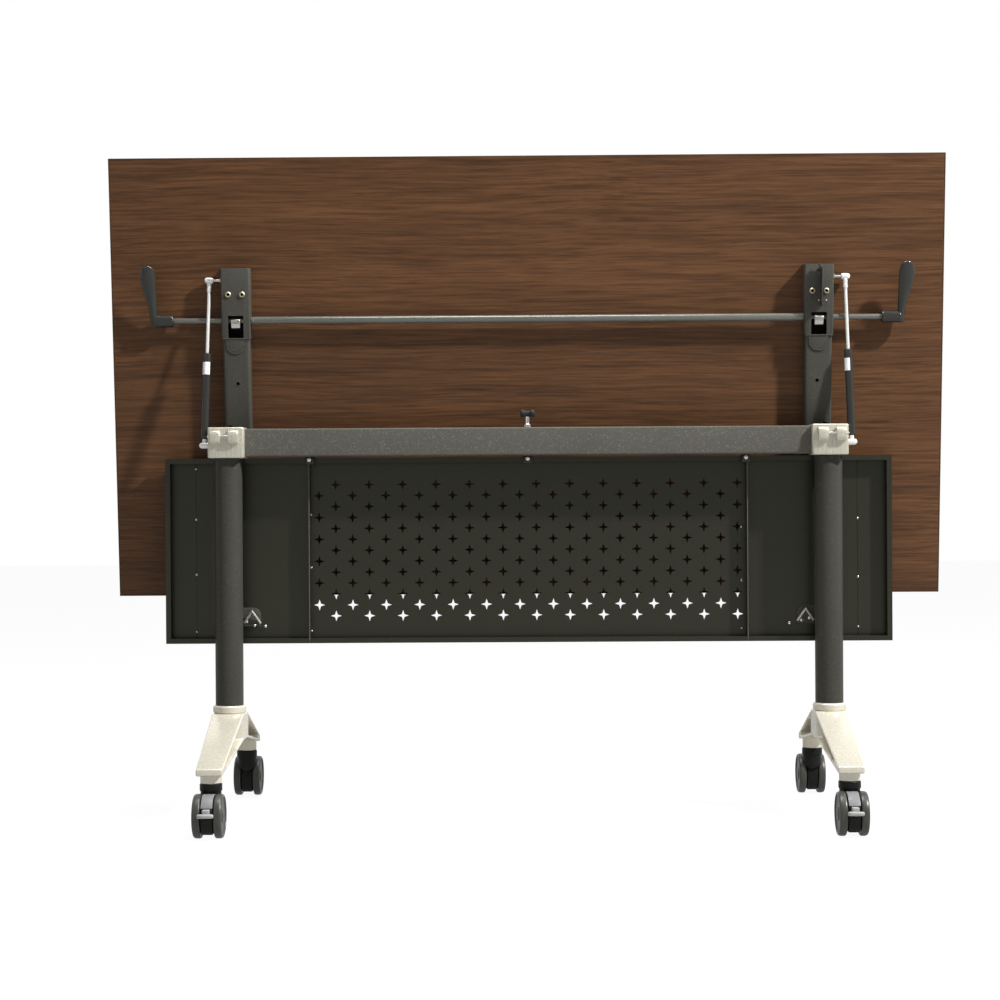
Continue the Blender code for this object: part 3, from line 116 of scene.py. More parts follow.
def soften(points, radius, steps=3, closed=True):
    """Rounds a polyline's corners: each corner C becomes the curve
    (1-t)^2 A + 2t(1-t) C + t^2 B, with A and B at the radius from C along its two edges."""
    points = np.asarray(points, float)
    ends = []
    for neighbour in (1, -1):
        edge = np.roll(points, neighbour, axis=0) - points
        length = np.linalg.norm(edge, axis=1, keepdims=True)
        reach = np.minimum(radius, MOST_OF_EDGE * length) / length
        ends.append((points + edge * reach)[:, None])
    t = np.linspace(0, 1, steps + 1)[None, :, None]
    curve = (1 - t) ** 2 * ends[0] + 2 * t * (1 - t) * points[:, None] + t**2 * ends[1]
    if closed:
        return curve.reshape(-1, 2)
    return np.vstack([points[:1], curve[1:-1].reshape(-1, 2), points[-1:]])


def arc(centre, radius, start, end, steps):
    """Points centre + radius (cos a, sin a) for angles a in degrees from start to end."""
    angles = np.radians(np.linspace(start, end, steps + 1))
    return np.stack([centre[0] + radius * np.cos(angles), centre[1] + radius * np.sin(angles)], 1)


def full_turn(steps):
    return np.linspace(0, 2 * np.pi, steps, endpoint=False)


def across_axis(axis):
    return [i for i in range(3) if i != axis]


def surface(points, ring=False):
    """Faces over a grid of points P(i, j), closed round j, with flat caps at both ends of i
    or, for a ring, closed round i as well."""
    rows, columns = points.shape[:2]
    index = np.arange(rows * columns).reshape(rows, columns)
    right = np.roll(index, -1, axis=1)
    quads = np.stack([index, right, np.roll(right, -1, axis=0), np.roll(index, -1, axis=0)], -1)
    faces = quads.reshape(-1, 4).tolist() if ring else quads[:-1].reshape(-1, 4).tolist()
    if not ring:
        faces += [index[0][::-1].tolist(), index[-1].tolist()]
    return points.reshape(-1, 3), faces


def revolve(profile, axis, centre=(0, 0, 0), sides=None, radius=0.0, ring=False, side=1):
    """Points (radius, along) turned round an axis: P(i, a) = along_i axis + radius_i (cos a, sin a),
    with the axis turned about for the left side."""
    sides = sides or bpy.context.scene.table_sizes.round_sides
    profile = np.asarray(profile, float) * (1, side)
    if radius:
        profile = soften(profile, radius, closed=ring)
    turn = full_turn(sides)
    one, two = across_axis(axis)
    points = np.zeros((len(profile), sides, 3))
    points[..., axis] = profile[:, 1, None]
    points[..., one] = profile[:, 0, None] * np.cos(turn)
    points[..., two] = profile[:, 0, None] * np.sin(turn)
    return surface(points + np.asarray(centre, float), ring)


def inset(outline, distance):
    """Moves each corner of a closed outline inwards along the mean of its two edges' normals."""
    ahead = np.roll(outline, -1, axis=0) - outline
    ahead /= np.maximum(np.linalg.norm(ahead, axis=1, keepdims=True), 1e-12)
    normal = np.stack([-ahead[:, 1], ahead[:, 0]], 1)
    mean = normal + np.roll(normal, 1, axis=0)
    mean /= np.maximum((mean**2).sum(1, keepdims=True) / 2, 0.3)
    x, y = outline.T
    area = (x * np.roll(y, -1) - np.roll(x, -1) * y).sum()
    return outline + np.sign(area) * distance * mean


def slab(outline, axis, start, end, rim=0.0, steps=3):
    """A closed outline carried along an axis, with quarter-round rims of the given radius:
    the outline is inset by rim (1 - sin t) where it has risen by rim (1 - cos t)."""
    outline = np.asarray(outline, float)
    low, high = sorted((start, end))
    t = np.linspace(0, np.pi / 2, steps + 1) if rim else np.array([np.pi / 2])
    shrink = rim * (1 - np.sin(t))
    rise = rim * (1 - np.cos(t))
    shrink = np.concatenate([shrink, shrink[::-1]])
    along = np.concatenate([low + rise, (high - rise)[::-1]])
    points = np.zeros((len(along), len(outline), 3))
    points[..., axis] = along[:, None]
    points[..., across_axis(axis)] = [inset(outline, amount) for amount in shrink]
    return surface(points)


def block(low, high, rim=0.0006):
    """A box with rounded edges: a softened rectangle carried upwards between quarter-round rims."""
    low, high = np.minimum(low, high), np.maximum(low, high)
    corners = [(low[0], low[1]), (high[0], low[1]), (high[0], high[1]), (low[0], high[1])]
    return slab(soften(corners, rim * 1.5), 2, low[2], high[2], rim)


def cylinder(radius, axis, start, end, centre=(0, 0, 0), rim=0.0, sides=32):
    """A rod along an axis through centre, its ends rounded by the rim."""
    profile = [(0, start), (radius, start), (radius, end), (0, end)]
    return revolve(profile, axis, centre, sides, radius=rim)


def dome(radius, height, axis, centre, sides=24):
    """A round head that faces down its axis: radius times cos t, height times sin t."""
    t = np.linspace(0, np.pi / 2, 7)
    profile = np.stack([radius * np.cos(t), -height * np.sin(t)], 1)
    profile[-1, 0] = 0
    return revolve(np.vstack([[0, 0], profile]), axis, centre, sides)


def tube(path, radius, sides=10):
    """A round wire: circles of the radius square to a path P(t) of points."""
    path = np.asarray(path, float)
    ahead = np.gradient(path, axis=0)
    ahead /= np.linalg.norm(ahead, axis=1, keepdims=True)
    across = np.cross(ahead, [0.21, 0.93, 0.3])
    across /= np.linalg.norm(across, axis=1, keepdims=True)
    other = np.cross(ahead, across)
    turn = full_turn(sides)[None, :, None]
    return surface(
        path[:, None] + radius * (across[:, None] * np.cos(turn) + other[:, None] * np.sin(turn))
    )


def hollow_bar(outer, inner, axis, start, end):
    """An outer and an inner outline of as many points, carried along an axis."""
    rows = np.zeros((4, len(outer), 3))
    for row, (outline, along) in enumerate(((outer, start), (outer, end), (inner, end), (inner, start))):
        rows[row][:, across_axis(axis)] = outline
        rows[row, :, axis] = along
    return surface(rows, ring=True)


def rectangle(centre, half, radius, steps=4):
    corners = [(-1, -1), (1, -1), (1, 1), (-1, 1)]
    points = [(centre[0] + x * half[0], centre[1] + y * half[1]) for x, y in corners]
    return soften(points, radius, steps)


def carrier(turn, place):
    """What carries a part: it is turned about the origin, then moved to its place."""
    turn, place = np.array(turn), np.array(place)
    return lambda part: (part[0] @ turn.T + place, part[1])


# The top's parts are drawn as in use, with the hinge for X axis, those of the release about its rod,
# and those of the frame with the columns' middles on Y = 0.
ROD_REACH, ROD_OFFSET = 0.218, 0.042
FOLDED = np.array(Matrix.Rotation(-TILT_ANGLE, 3, "X"))
CARRIERS = {
    "top": carrier(FOLDED, PIVOT),
    "release": carrier(FOLDED, PIVOT + FOLDED @ (0, -ROD_REACH, ROD_OFFSET)),
    "frame": carrier(np.eye(3), (0, LEG_Y, 0)),
}


def mesh_from(parts):
    """One mesh from several parts, its doubles merged and its faces turned outwards."""
    faces = []
    offset = 0
    for points, own_faces in parts:
        faces += [[i + offset for i in face] for face in own_faces]
        offset += len(points)
    mesh = bpy.data.meshes.new("piece")
    mesh.from_pydata(np.vstack([part[0] for part in parts]), [], faces)
    bm = bmesh.new()
    bm.from_mesh(mesh)
    bmesh.ops.remove_doubles(bm, verts=bm.verts, dist=2e-6)
    bmesh.ops.recalc_face_normals(bm, faces=bm.faces)
    bm.to_mesh(mesh)
    bm.free()
    return mesh


def new_object(name, mesh):
    made = bpy.data.objects.new(name, mesh)
    bpy.context.scene.collection.objects.link(made)
    return made


def cut(part, *cutters):
    """A part with the cutters taken out of it."""
    whole = new_object("whole", mesh_from([part]))
    helpers = [whole]
    for cutter in cutters:
        helpers.append(new_object("cutter", mesh_from([cutter])))
        modifier = whole.modifiers.new("cut", "BOOLEAN")
        modifier.operation = "DIFFERENCE"
        modifier.solver = "EXACT"
        modifier.object = helpers[-1]
    graph = bpy.context.evaluated_depsgraph_get()
    mesh = bpy.data.meshes.new_from_object(whole.evaluated_get(graph))
    points = np.zeros(len(mesh.vertices) * 3)
    mesh.vertices.foreach_get("co", points)
    faces = [list(polygon.vertices) for polygon in mesh.polygons]
    for helper in helpers:
        bpy.data.objects.remove(helper)
    return points.reshape(-1, 3), faces


LOOKS = {}


def make_piece(name, parts, look, body, slot, *replaced, carry=None, sharp=35):
    """A piece from its parts, carried to their place, with its finish and its body. The slot is not used.
    """
    mesh = mesh_from([(carry or CARRIERS[body])(part) for part in parts])
    mesh.name = name
    mesh.shade_smooth()
    mesh.set_sharp_from_angle(angle=math.radians(sharp))
    mesh.materials.append(LOOKS[look])
    piece = new_object(name, mesh)
    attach(piece, body)
    if replaced:
        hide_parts(*replaced)


def adopt(node, look):
    """Keeps a CAD node's shape and gives it a finish."""
    slots = frame["nodes"][node].data.materials
    slots.clear()
    slots.append(LOOKS[look])


# Shader groups and finishes.


def add_node(tree, kind, inputs=None, **settings):
    made = tree.nodes.new(kind)
    for name, value in settings.items():
        setattr(made, name, value)
    for name, value in (inputs or {}).items():
        if isinstance(value, bpy.types.NodeSocket):
            tree.links.new(value, made.inputs[name])
        else:
            made.inputs[name].default_value = value
    return made


def ramp(tree, value, low, high, dark=0.0, light=1.0):
    """A value stretched between two levels and clamped."""
    levels = {"Value": value, "From Min": low, "From Max": high, "To Min": dark, "To Max": light}
    return add_node(tree, "ShaderNodeMapRange", levels).outputs["Result"]


def times(tree, vector, factor):
    inputs = {0: vector, 1: factor}
    return add_node(tree, "ShaderNodeVectorMath", inputs, operation="MULTIPLY").outputs["Vector"]


def shade(tree, colour, factor, low, high):
    """A colour multiplied by a grey that runs from low to high with the factor."""
    return times(tree, colour, ramp(tree, factor, 0.0, 1.0, low, high))


def noise(tree, vector, scale, detail, output="Fac", roughness=0.5):
    inputs = {"Vector": vector, "Scale": scale, "Detail": detail, "Roughness": roughness}
    return add_node(tree, "ShaderNodeTexNoise", inputs).outputs[output]


GROUPS = {}


def new_group(name, outputs, kind, given, default):
    """A shader group with one input and some masks for outputs, and Object coordinates in it."""
    tree = GROUPS[name] = bpy.data.node_groups.new(name, "ShaderNodeTree")
    tree.interface.new_socket(given, in_out="INPUT", socket_type=kind).default_value = default
    for socket in outputs:
        tree.interface.new_socket(socket, in_out="OUTPUT", socket_type="NodeSocketFloat")
    place = add_node(tree, "ShaderNodeTexCoord").outputs["Object"]
    return tree, place, tree.nodes.new("NodeGroupInput").outputs[given]


def put_out(tree, **values):
    add_node(tree, "NodeGroupOutput", values)


def use_group(tree, name, **values):
    return add_node(tree, "ShaderNodeGroup", values, node_tree=GROUPS[name]).outputs


def make_groups():
    """Wood figure: long fibres, pores and broad bands along X, with slow bends across them.
    Powder coat: a fine orange peel with scattered specks and slow clouds.
    Brushed metal: short lines along one axis, set by the stretch, and slow clouds."""
    scales = {"Fibre": (7.0, 260.0, 260.0), "Band": (1.0, 34.0, 34.0), "Pore": (18.0, 800.0, 800.0)}
    tree, place, length = new_group("wood_figure", scales, "NodeSocketFloat", "Length", 1.0)
    bend = times(tree, noise(tree, place, 1.6, 2.0, "Color"), (0.0, 0.03, 0.03))
    moved = add_node(tree, "ShaderNodeVectorMath", {0: place, 1: bend}).outputs["Vector"]
    put_out(tree, **{
        name: noise(tree, times(tree, moved, scale), length, 4.0, roughness=0.6)
        for name, scale in scales.items()
    })

    outputs = ("Peel", "Speck", "Cloud")
    tree, place, scale = new_group("coat_texture", outputs, "NodeSocketFloat", "Scale", 1.0)
    scaled = times(tree, place, scale)
    put_out(
        tree,
        Peel=noise(tree, scaled, 900.0, 2.0),
        Speck=ramp(tree, noise(tree, scaled, 420.0, 3.0), 0.56, 0.72),
        Cloud=noise(tree, place, 7.0, 3.0),
    )

    stretch = (60.0, 1500.0, 1500.0)
    tree, place, given = new_group("brush_lines", ("Line", "Cloud"), "NodeSocketVector", "Stretch", stretch)
    line = noise(tree, times(tree, place, given), 1.0, 3.0)
    put_out(tree, Line=line, Cloud=noise(tree, place, 22.0, 3.0))


def new_material(name, metallic, specular):
    material = bpy.data.materials.new(name)
    material.use_nodes = True
    tree = material.node_tree
    shader = tree.nodes["Principled BSDF"]
    shader.inputs["Metallic"].default_value = metallic
    shader.inputs["Specular IOR Level"].default_value = specular
    return material, tree, shader


def feed(tree, shader, colour, rough, height, distance, strength):
    """Links a colour, a roughness and the height of a bump to a shader."""
    relief = {"Height": height, "Distance": distance, "Strength": strength}
    normal = add_node(tree, "ShaderNodeBump", relief).outputs["Normal"]
    for socket, value in (("Base Color", colour), ("Roughness", rough), ("Normal", normal)):
        tree.links.new(value, shader.inputs[socket])


def walnut_material(name, colour, length):
    material, tree, shader = new_material(name, 0.0, 0.22)
    figure = use_group(tree, "wood_figure", Length=length)
    base = shade(tree, colour, ramp(tree, figure["Band"], 0.32, 0.68), 0.76, 1.14)
    base = shade(tree, base, ramp(tree, figure["Fibre"], 0.34, 0.62), 0.62, 1.2)
    base = shade(tree, base, ramp(tree, figure["Pore"], 0.36, 0.5), 0.7, 1.0)
    rough = ramp(tree, figure["Fibre"], 0.3, 0.7, 0.4, 0.52)
    feed(tree, shader, base, rough, figure["Pore"], 0.00012, 0.5)
    return material


COAT_TINT = (1.0, 0.99, 0.82, 1.0)      # the coats mirror slightly warm


def coat_material(name, colour, roughness, speck, specular=0.25, metallic=0.0, depth=0.0001):
    material, tree, shader = new_material(name, metallic, specular)
    shader.inputs["Specular Tint"].default_value = COAT_TINT
    texture = use_group(tree, "coat_texture", Scale=1.0)
    base = shade(tree, colour, texture["Cloud"], 0.86, 1.14)
    base = shade(tree, base, texture["Speck"], 1.0, speck)
    rough = ramp(tree, texture["Peel"], 0.3, 0.7, roughness - 0.06, roughness + 0.08)
    feed(tree, shader, base, rough, texture["Peel"], depth, 0.6)
    return material


def metal_material(name, colour, roughness, stretch, spread, metallic=1.0, depth=0.00004):
    material, tree, shader = new_material(name, metallic, 0.5)
    brushed = use_group(tree, "brush_lines", Stretch=stretch)
    base = shade(tree, colour, brushed["Line"], 1.0 - spread, 1.0 + spread * 0.5)
    base = shade(tree, base, brushed["Cloud"], 0.94, 1.04)
    rough = ramp(tree, brushed["Line"], 0.3, 0.7, roughness * 0.8, roughness * 1.3)
    feed(tree, shader, base, rough, brushed["Line"], depth, 0.5)
    return material


def plastic_material(name, colour, roughness, specular=0.3, scuff=0.12):
    material, tree, shader = new_material(name, 0.0, specular)
    texture = use_group(tree, "coat_texture", Scale=0.6)
    base = shade(tree, colour, texture["Cloud"], 0.85, 1.15)
    rough = ramp(tree, texture["Cloud"], 0.3, 0.7, roughness, roughness + scuff)
    feed(tree, shader, base, rough, texture["Peel"], 0.00003, 0.3)
    return material


def toned(colour, factor=1.0):
    return tuple(part * factor for part in colour)


def make_looks():
    """The finishes. The numbers are what each kind of material takes, in its own order."""
    make_groups()
    colours = bpy.context.scene.table_colours
    paint, walnut = toned(colours.paint), toned(colours.walnut)
    along_x, along_z = (60.0, 1500.0, 1500.0), (1500.0, 1500.0, 60.0)
    polish = (200.0, 3000.0, 3000.0)
    rows = {
        walnut_material: {
            "walnut": ("walnut_laminate", walnut, 1.0),
            "edge": ("walnut_edge_band", toned(walnut, 0.8), 1.5),
        },
        coat_material: {
            "paint": ("powder_coat", paint, 0.5, 1.5),
            "beam": ("beam_coat", toned(paint, 1.55), 0.5, 1.9, 0.15),
            "arm": ("arm_coat", toned(paint, 1.05), 0.42, 1.5, 0.12),
            "column": ("column_coat", toned(paint, 0.8), 0.36, 1.6, 0.14),
            "panel": ("panel_coat", toned(colours.panel), 0.34, 1.1, 0.68),
            # A paler paint for thin strips on the panel: painted highlights along its lips and bottom edge.
            "trim": ("trim_coat", toned(paint, 2.2), 0.4, 1.2),
            "rod": ("rod_coat", (0.18, 0.18, 0.16), 0.22, 1.0, 0.25, 0.5, 0.000003),
        },
        metal_material: {
            "nickel": ("satin_nickel", (0.66, 0.63, 0.52), 0.3, along_z, 0.24, 0.5),
            "casting": ("polished_casting", toned(colours.casting), 0.25, polish, 0.03, 0.3, 0.0000002),
            "bright": ("bright_steel", (0.88, 0.88, 0.86), 0.22, along_z, 0.04, 0.35),
            "chrome": ("bright_chrome", (0.88, 0.88, 0.87), 0.14, along_z, 0.03),
            "zinc": ("zinc_plate", (0.66, 0.65, 0.6), 0.3, along_x, 0.08),
            "brass": ("pale_brass", (0.62, 0.56, 0.38), 0.4, along_x, 0.08),
        },
        plastic_material: {
            # Near-black painted shade: for the discs in the screw heads' recesses and for the lock bars
            # seen through the arms' windows.
            "dark": ("dark_recess", (0.003, 0.003, 0.003), 0.6, 0.1),
            "collar": ("collar_black", (0.01, 0.01, 0.009), 0.28, 0.15),
            "gloss": ("gloss_black", toned(colours.plastic), 0.14, 0.5, 0.04),
            "wheel": ("wheel_black", (0.046, 0.045, 0.038), 0.3, 0.5),
            # Pale grey for the front hoods' upper front, where the light falls: painted light.
            "hood": ("hood_grey", (0.2, 0.205, 0.21), 0.3),
            "pedal": ("pedal_grey", (0.34, 0.34, 0.33), 0.4),
            "rubber": ("bumper_rubber", (0.018, 0.018, 0.017), 0.5),
            "label": ("blank_label", (0.9, 0.9, 0.89), 0.45),
        },
    }
    for make_material, finishes in rows.items():
        for look, values in finishes.items():
            LOOKS[look] = make_material(*values)


# Pieces. Each operator builds one piece or a group of like pieces.

# Places in the top's own frame as it lies in use: X along the hinge from its middle, Z up from it.
# A reach is a distance from the hinge towards the handles, along -Y.

ARM_X = 0.523
ARM_FACE = 0.0315
ARM_SHEET = 0.0025
ARM_END = 0.309
UNDERSIDE = 0.058
HOUSING_FACE = 0.0297
HOUSING_SHEET = 0.0015
STUD_REACH, STUD_OFFSET = 0.29, 0.046
SCREW_REACH = 0.265
SCREW_PLACES = {"inner": 0.5105, "outer": 0.5355}
ROD_HOLE, FIXING_HOLE = 0.0055, 0.0028
WINDOW_START, WINDOW_END, WINDOW_HALF = 0.187, 0.227, 0.014


def channel(centre, half, face, sheet, bend, start, end):
    """A folded U: its eight-cornered section, rounded at the bends, is carried along Y."""
    edge = UNDERSIDE - 0.0004
    outer, inner = half, half - sheet
    section = [
        (centre - outer, edge), (centre - outer, face), (centre + outer, face), (centre + outer, edge),
        (centre + inner, edge), (centre + inner, face + sheet),
        (centre - inner, face + sheet), (centre - inner, edge),
    ]
    lip = 0.0005
    inside = bend - sheet
    radii = np.array([lip, bend, bend, lip, lip, inside, inside, lip])[:, None]
    return slab(soften(section, radii, 5), 1, start, end, 0.0003, 2)


def arm_holes(side, depth):
    """Cutters for the window, the rod, the stud and the two screws."""
    x = side * ARM_X
    return [
        block((x - WINDOW_HALF, -WINDOW_END, 0.02), (x + WINDOW_HALF, -WINDOW_START, depth), 0.0008),
        cylinder(ROD_HOLE, 0, x - 0.05, x + 0.05, (0, -ROD_REACH, ROD_OFFSET)),
        cylinder(FIXING_HOLE, 0, x, x + side * 0.05, (0, -STUD_REACH, STUD_OFFSET)),
        *[cylinder(FIXING_HOLE, 2, 0.02, 0.036, (side * place, -SCREW_REACH, 0))
          for place in SCREW_PLACES.values()],
    ]


class BoardOperator(bpy.types.Operator):
    """Gives the board and its edge band their wood."""

    bl_idname = "table.board"
    bl_label = "Board and edge band"

    def execute(self, context):
        adopt("tabletop", "walnut")
        adopt("edge_band", "edge")
        return {"FINISHED"}


class ArmOperator(bpy.types.Operator):
    """Folds the arms: a U section with round bends carried along Y, with its holes cut, a knuckle
    of radius 15 mm about the hinge, and an end wall."""

    bl_idname = "table.arms"
    bl_label = "Arms"

    def execute(self, context):
        for name, side in SIDES.items():
            x = side * ARM_X
            slot_x = side * 0.5366
            hole_x, hole_y = side * 0.521, -0.105
            hole_rim = [(0.003, 0.0002), (0.0032, -0.0005), (0.0042, -0.0004), (0.0046, 0.0002)]
            window, *holes = arm_holes(side, 0.0355)
            knuckle = [(0.015, 0.0328), *arc((0, 0), 0.015, 0, -180, 24), (-0.015, 0.0328)]
            parts = [
                cut(
                    channel(x, 0.024, ARM_FACE, ARM_SHEET, 0.0045, 0.015, -ARM_END),
                    window,
                    block((slot_x - 0.0045, -0.0295, 0.02), (slot_x + 0.0045, -0.0145, 0.0355), 0.0008),
                    cylinder(0.003, 2, 0.02, 0.036, (hole_x, hole_y, 0)),
                    *holes,
                ),
                cut(
                    slab(knuckle, 0, side * 0.5116, side * 0.5316, 0.0006),
                    cylinder(0.0054, 0, x - 0.05, x + 0.05),
                ),
                block((x - 0.0225, -ARM_END, 0.033), (x + 0.0225, -0.3065, 0.0577)),
                block((x - 0.006, -0.2591, 0.033), (x + 0.006, -0.2561, 0.05)),
                revolve(hole_rim, 2, (hole_x, hole_y, ARM_FACE), 32, ring=True),
            ]
            make_piece(f"{name}_folded_arm", parts, "arm", "top", "arm_steel", f"{name}_arm")
        return {"FINISHED"}


class HousingOperator(bpy.types.Operator):
    """Folds the latch covers: a thin U section carried along Y with a window, a lip, and a tongue
    whose outline is a half circle of radius 17 mm. The right one gets its fin, ear and bolt."""

    bl_idname = "table.housings"
    bl_label = "Latch housings"

    def execute(self, context):
        for name, side in SIDES.items():
            x = side * ARM_X
            tip = (x, -0.176)
            tongue = [(x + 0.017, -0.187), *arc(tip, 0.017, 0, 180, 32), (x - 0.017, -0.187)]
            groove = arc(tip, 0.0125, 5, 175, 32)
            parts = [
                cut(
                    channel(x, 0.026, HOUSING_FACE, HOUSING_SHEET, 0.0032, -0.185, -0.312),
                    *arm_holes(side, 0.0315),
                ),
                slab(tongue, 2, HOUSING_FACE + 0.0002, HOUSING_FACE + 0.0012, 0.0003),
                tube([(*point, HOUSING_FACE + 0.0004) for point in tongue], 0.0007),
                tube([(*point, HOUSING_FACE + 0.0002) for point in groove], 0.0005),
                block((x - 0.0245, -0.1868, HOUSING_FACE - 0.0008),
                      (x + 0.0245, -0.1848, HOUSING_FACE + 0.0008), 0.0004),
                block((x - 0.0253, -0.312, HOUSING_FACE + 0.0008), (x + 0.0253, -0.3105, 0.0575)),
            ]
            if name == "right":
                parts += catch_parts()
            make_piece(f"{name}_latch_cover", parts, "arm", "top", "arm_steel", f"{name}_latch_housing")
        return {"FINISHED"}


def catch_parts():
    """The fin, an outline with round corners carried across 2 mm, its ear and its bolt."""
    back, front = HOUSING_FACE + 0.0008, HOUSING_FACE - 0.016
    fin = [(-0.238, back), (-0.238, front), (-0.311, front), (-0.311, back)]
    ear = [(0.526, -0.301), (0.527, -0.299), (0.527, -0.307), (0.5215, -0.315), (0.5185, -0.314)]
    bolt = [(0, 0.526), (0.0036, 0.526), (0.0036, 0.517), (0.0024, 0.5165), (0.002, 0.5185),
            (0, 0.5185)]
    return [
        slab(soften(fin, 0.003), 0, 0.5255, 0.5275, 0.0004),
        slab(soften(ear, 0.001), 2, front + 0.0005, front + 0.01, 0.0004),
        revolve(bolt, 0, (0, -0.296, HOUSING_FACE - 0.006), 24, radius=0.0003),
    ]


class FixingOperator(bpy.types.Operator):
    """Turns the arm screws from a head profile with a recess, whose near-black disc is painted
    shade, and the strut studs with their six-sided nuts."""

    bl_idname = "table.fixings"
    bl_label = "Arm screws and strut studs"

    def execute(self, context):
        head = [
            (0, -0.0009), (0.0026, -0.0009), (0.0028, -0.0026), (0.004, -0.0028), (0.00525, -0.0016),
            (0.00525, -0.0003), (0.0025, -0.0003), (0.0025, 0.0405), (0, 0.042),
        ]
        shaft = [(0, 0.5415), (0.0025, 0.5415), (0.0025, 0.5733), (0, 0.5733)]
        hexagon = arc((-STUD_REACH, STUD_OFFSET), 0.005, 0, 300, 5)
        for name, side in SIDES.items():
            for where, place in SCREW_PLACES.items():
                x = side * place
                screw = revolve(head, 2, (x, -SCREW_REACH, HOUSING_FACE), 32, radius=0.0002)
                # A near-black disc in the head's recess stands in for the shade there: painted shade.
                recess = cylinder(0.0027, 2, -0.0014, -0.0008, (x, -SCREW_REACH, HOUSING_FACE))
                make_piece(f"{name}_{where}_turned_screw", [screw], "brass", "top", "brass",
                           f"{name}_{where}_arm_screw")
                make_piece(f"{name}_{where}_screw_recess_shade", [recess], "dark", "top", "brass")
            if name == "right":
                heads = [dome(0.0013, 0.0008, 2, (x, -0.248, HOUSING_FACE), 16) for x in (0.5225, 0.5355)]
                make_piece("right_cover_rivets", heads, "bright", "top", "brass")
            parts = [
                revolve(shaft, 0, (0, -STUD_REACH, STUD_OFFSET), 24, side=side),
                slab(hexagon, 0, side * 0.5416, side * 0.544, 0.0004),
                slab(hexagon, 0, side * 0.5494, side * 0.5524, 0.0005),
            ]
            make_piece(f"{name}_nutted_stud", parts, "zinc", "top", "zinc", f"{name}_strut_stud")
        return {"FINISHED"}


class ReleaseOperator(bpy.types.Operator):
    """Turns the rod and its sleeve, and cuts the cams from softened outlines."""

    bl_idname = "table.release"
    bl_label = "Release rod, sleeve and cams"

    def execute(self, context):
        rod = cylinder(0.005, 0, -0.666, 0.666, rim=0.0006)
        make_piece("drawn_rod", [rod], "rod", "release", "powder_coat", "release_rod")
        reach = 0.4965
        wall = [(0.0053, -reach), (0.007, -reach), (0.007, reach), (0.0053, reach)]
        sleeve = [
            revolve(wall, 0, sides=40, radius=0.0005, ring=True),
            *[dome(0.0022, 0.001, 2, (x, 0, -0.0067)) for x in (-0.4925, 0.4925)],
        ]
        make_piece("drawn_sleeve", sleeve, "rod", "release", "powder_coat", "release_sleeve")
        outline = [
            (-0.0025, 0.012), (-0.004, 0.0074), *arc((0, 0), 0.0085, 130, 240, 12),
            (-0.002, -0.013), (0.006, -0.0145), (0.013, -0.012), (0.016, -0.007),
            (0.0145, -0.002), *arc((0, 0), 0.0085, 5, 50, 6), (0.0025, 0.012),
        ]
        for name, side in SIDES.items():
            x = side * ARM_X
            cam = cut(
                slab(soften(outline, 0.0012), 0, x - 0.008, x + 0.008, 0.001),
                cylinder(0.0053, 0, x - 0.02, x + 0.02),
            )
            make_piece(f"{name}_cast_cam", [cam], "zinc", "release", "zinc", f"{name}_release_cam")
        return {"FINISHED"}


# A handle's sections in millimetres: reach from the rod, lean outwards, half width and half depth.
HANDLE = np.array([
    (-11, 0, 0.1, 0.1), (-10.8, 0, 4.4, 4.6), (-9, 0, 6.2, 6.8), (10, 0, 6.7, 7.0),
    (30, 1.725, 8.4, 6.4), (50, 4.278, 11.4, 6.2), (70, 6.21, 13.6, 6.7), (84, 6.624, 13.3, 7.0),
    (94, 6.624, 10.4, 6.1), (98.5, 6.624, 5.6, 3.9), (100, 6.624, 0.1, 0.1),
]) / 1000


class HandleOperator(bpy.types.Operator):
    """Lofts the handles: at a reach r the paddle's section is the ellipse (w(r) cos a, d(r) sin a)
    about a middle that leans outward with r, above a turned boss."""

    bl_idname = "table.handles"
    bl_label = "Handles"

    def execute(self, context):
        reach, lean, half, deep = smooth(HANDLE, 61).T[..., None]
        away = 0.22 * np.maximum(reach, 0)
        turn = full_turn(40)
        profile = [
            (0, 0.636), (0.0096, 0.636), (0.011, 0.6374), (0.011, 0.669), (0.0092, 0.672), (0, 0.672),
        ]
        for name, side in SIDES.items():
            paddle = np.stack(np.broadcast_arrays(
                side * (0.6713 + lean) + half * np.cos(turn), -reach, deep * np.sin(turn) - away,
            ), -1)
            boss = revolve(profile, 0, sides=48, radius=0.0014, side=side)
            bore = cylinder(0.0053, 0, side * 0.62, side * 0.6665)
            make_piece(f"{name}_moulded_handle", [surface(paddle), cut(boss, bore)], "gloss", "release",
                       "black_plastic", f"{name}_handle")
        return {"FINISHED"}


def smooth(rows, steps):
    """A cubic curve through rows of values, its slope at each the mean of its neighbours'."""
    slope = np.gradient(rows, axis=0)
    t = np.linspace(0, len(rows) - 1, steps)
    i = np.clip(t.astype(int), 0, len(rows) - 2)
    u = (t - i)[:, None]
    return (
        (2 * u**3 - 3 * u**2 + 1) * rows[i] + (u**3 - 2 * u**2 + u) * slope[i]
        + (3 * u**2 - 2 * u**3) * rows[i + 1] + (u**3 - u**2) * slope[i + 1]
    )


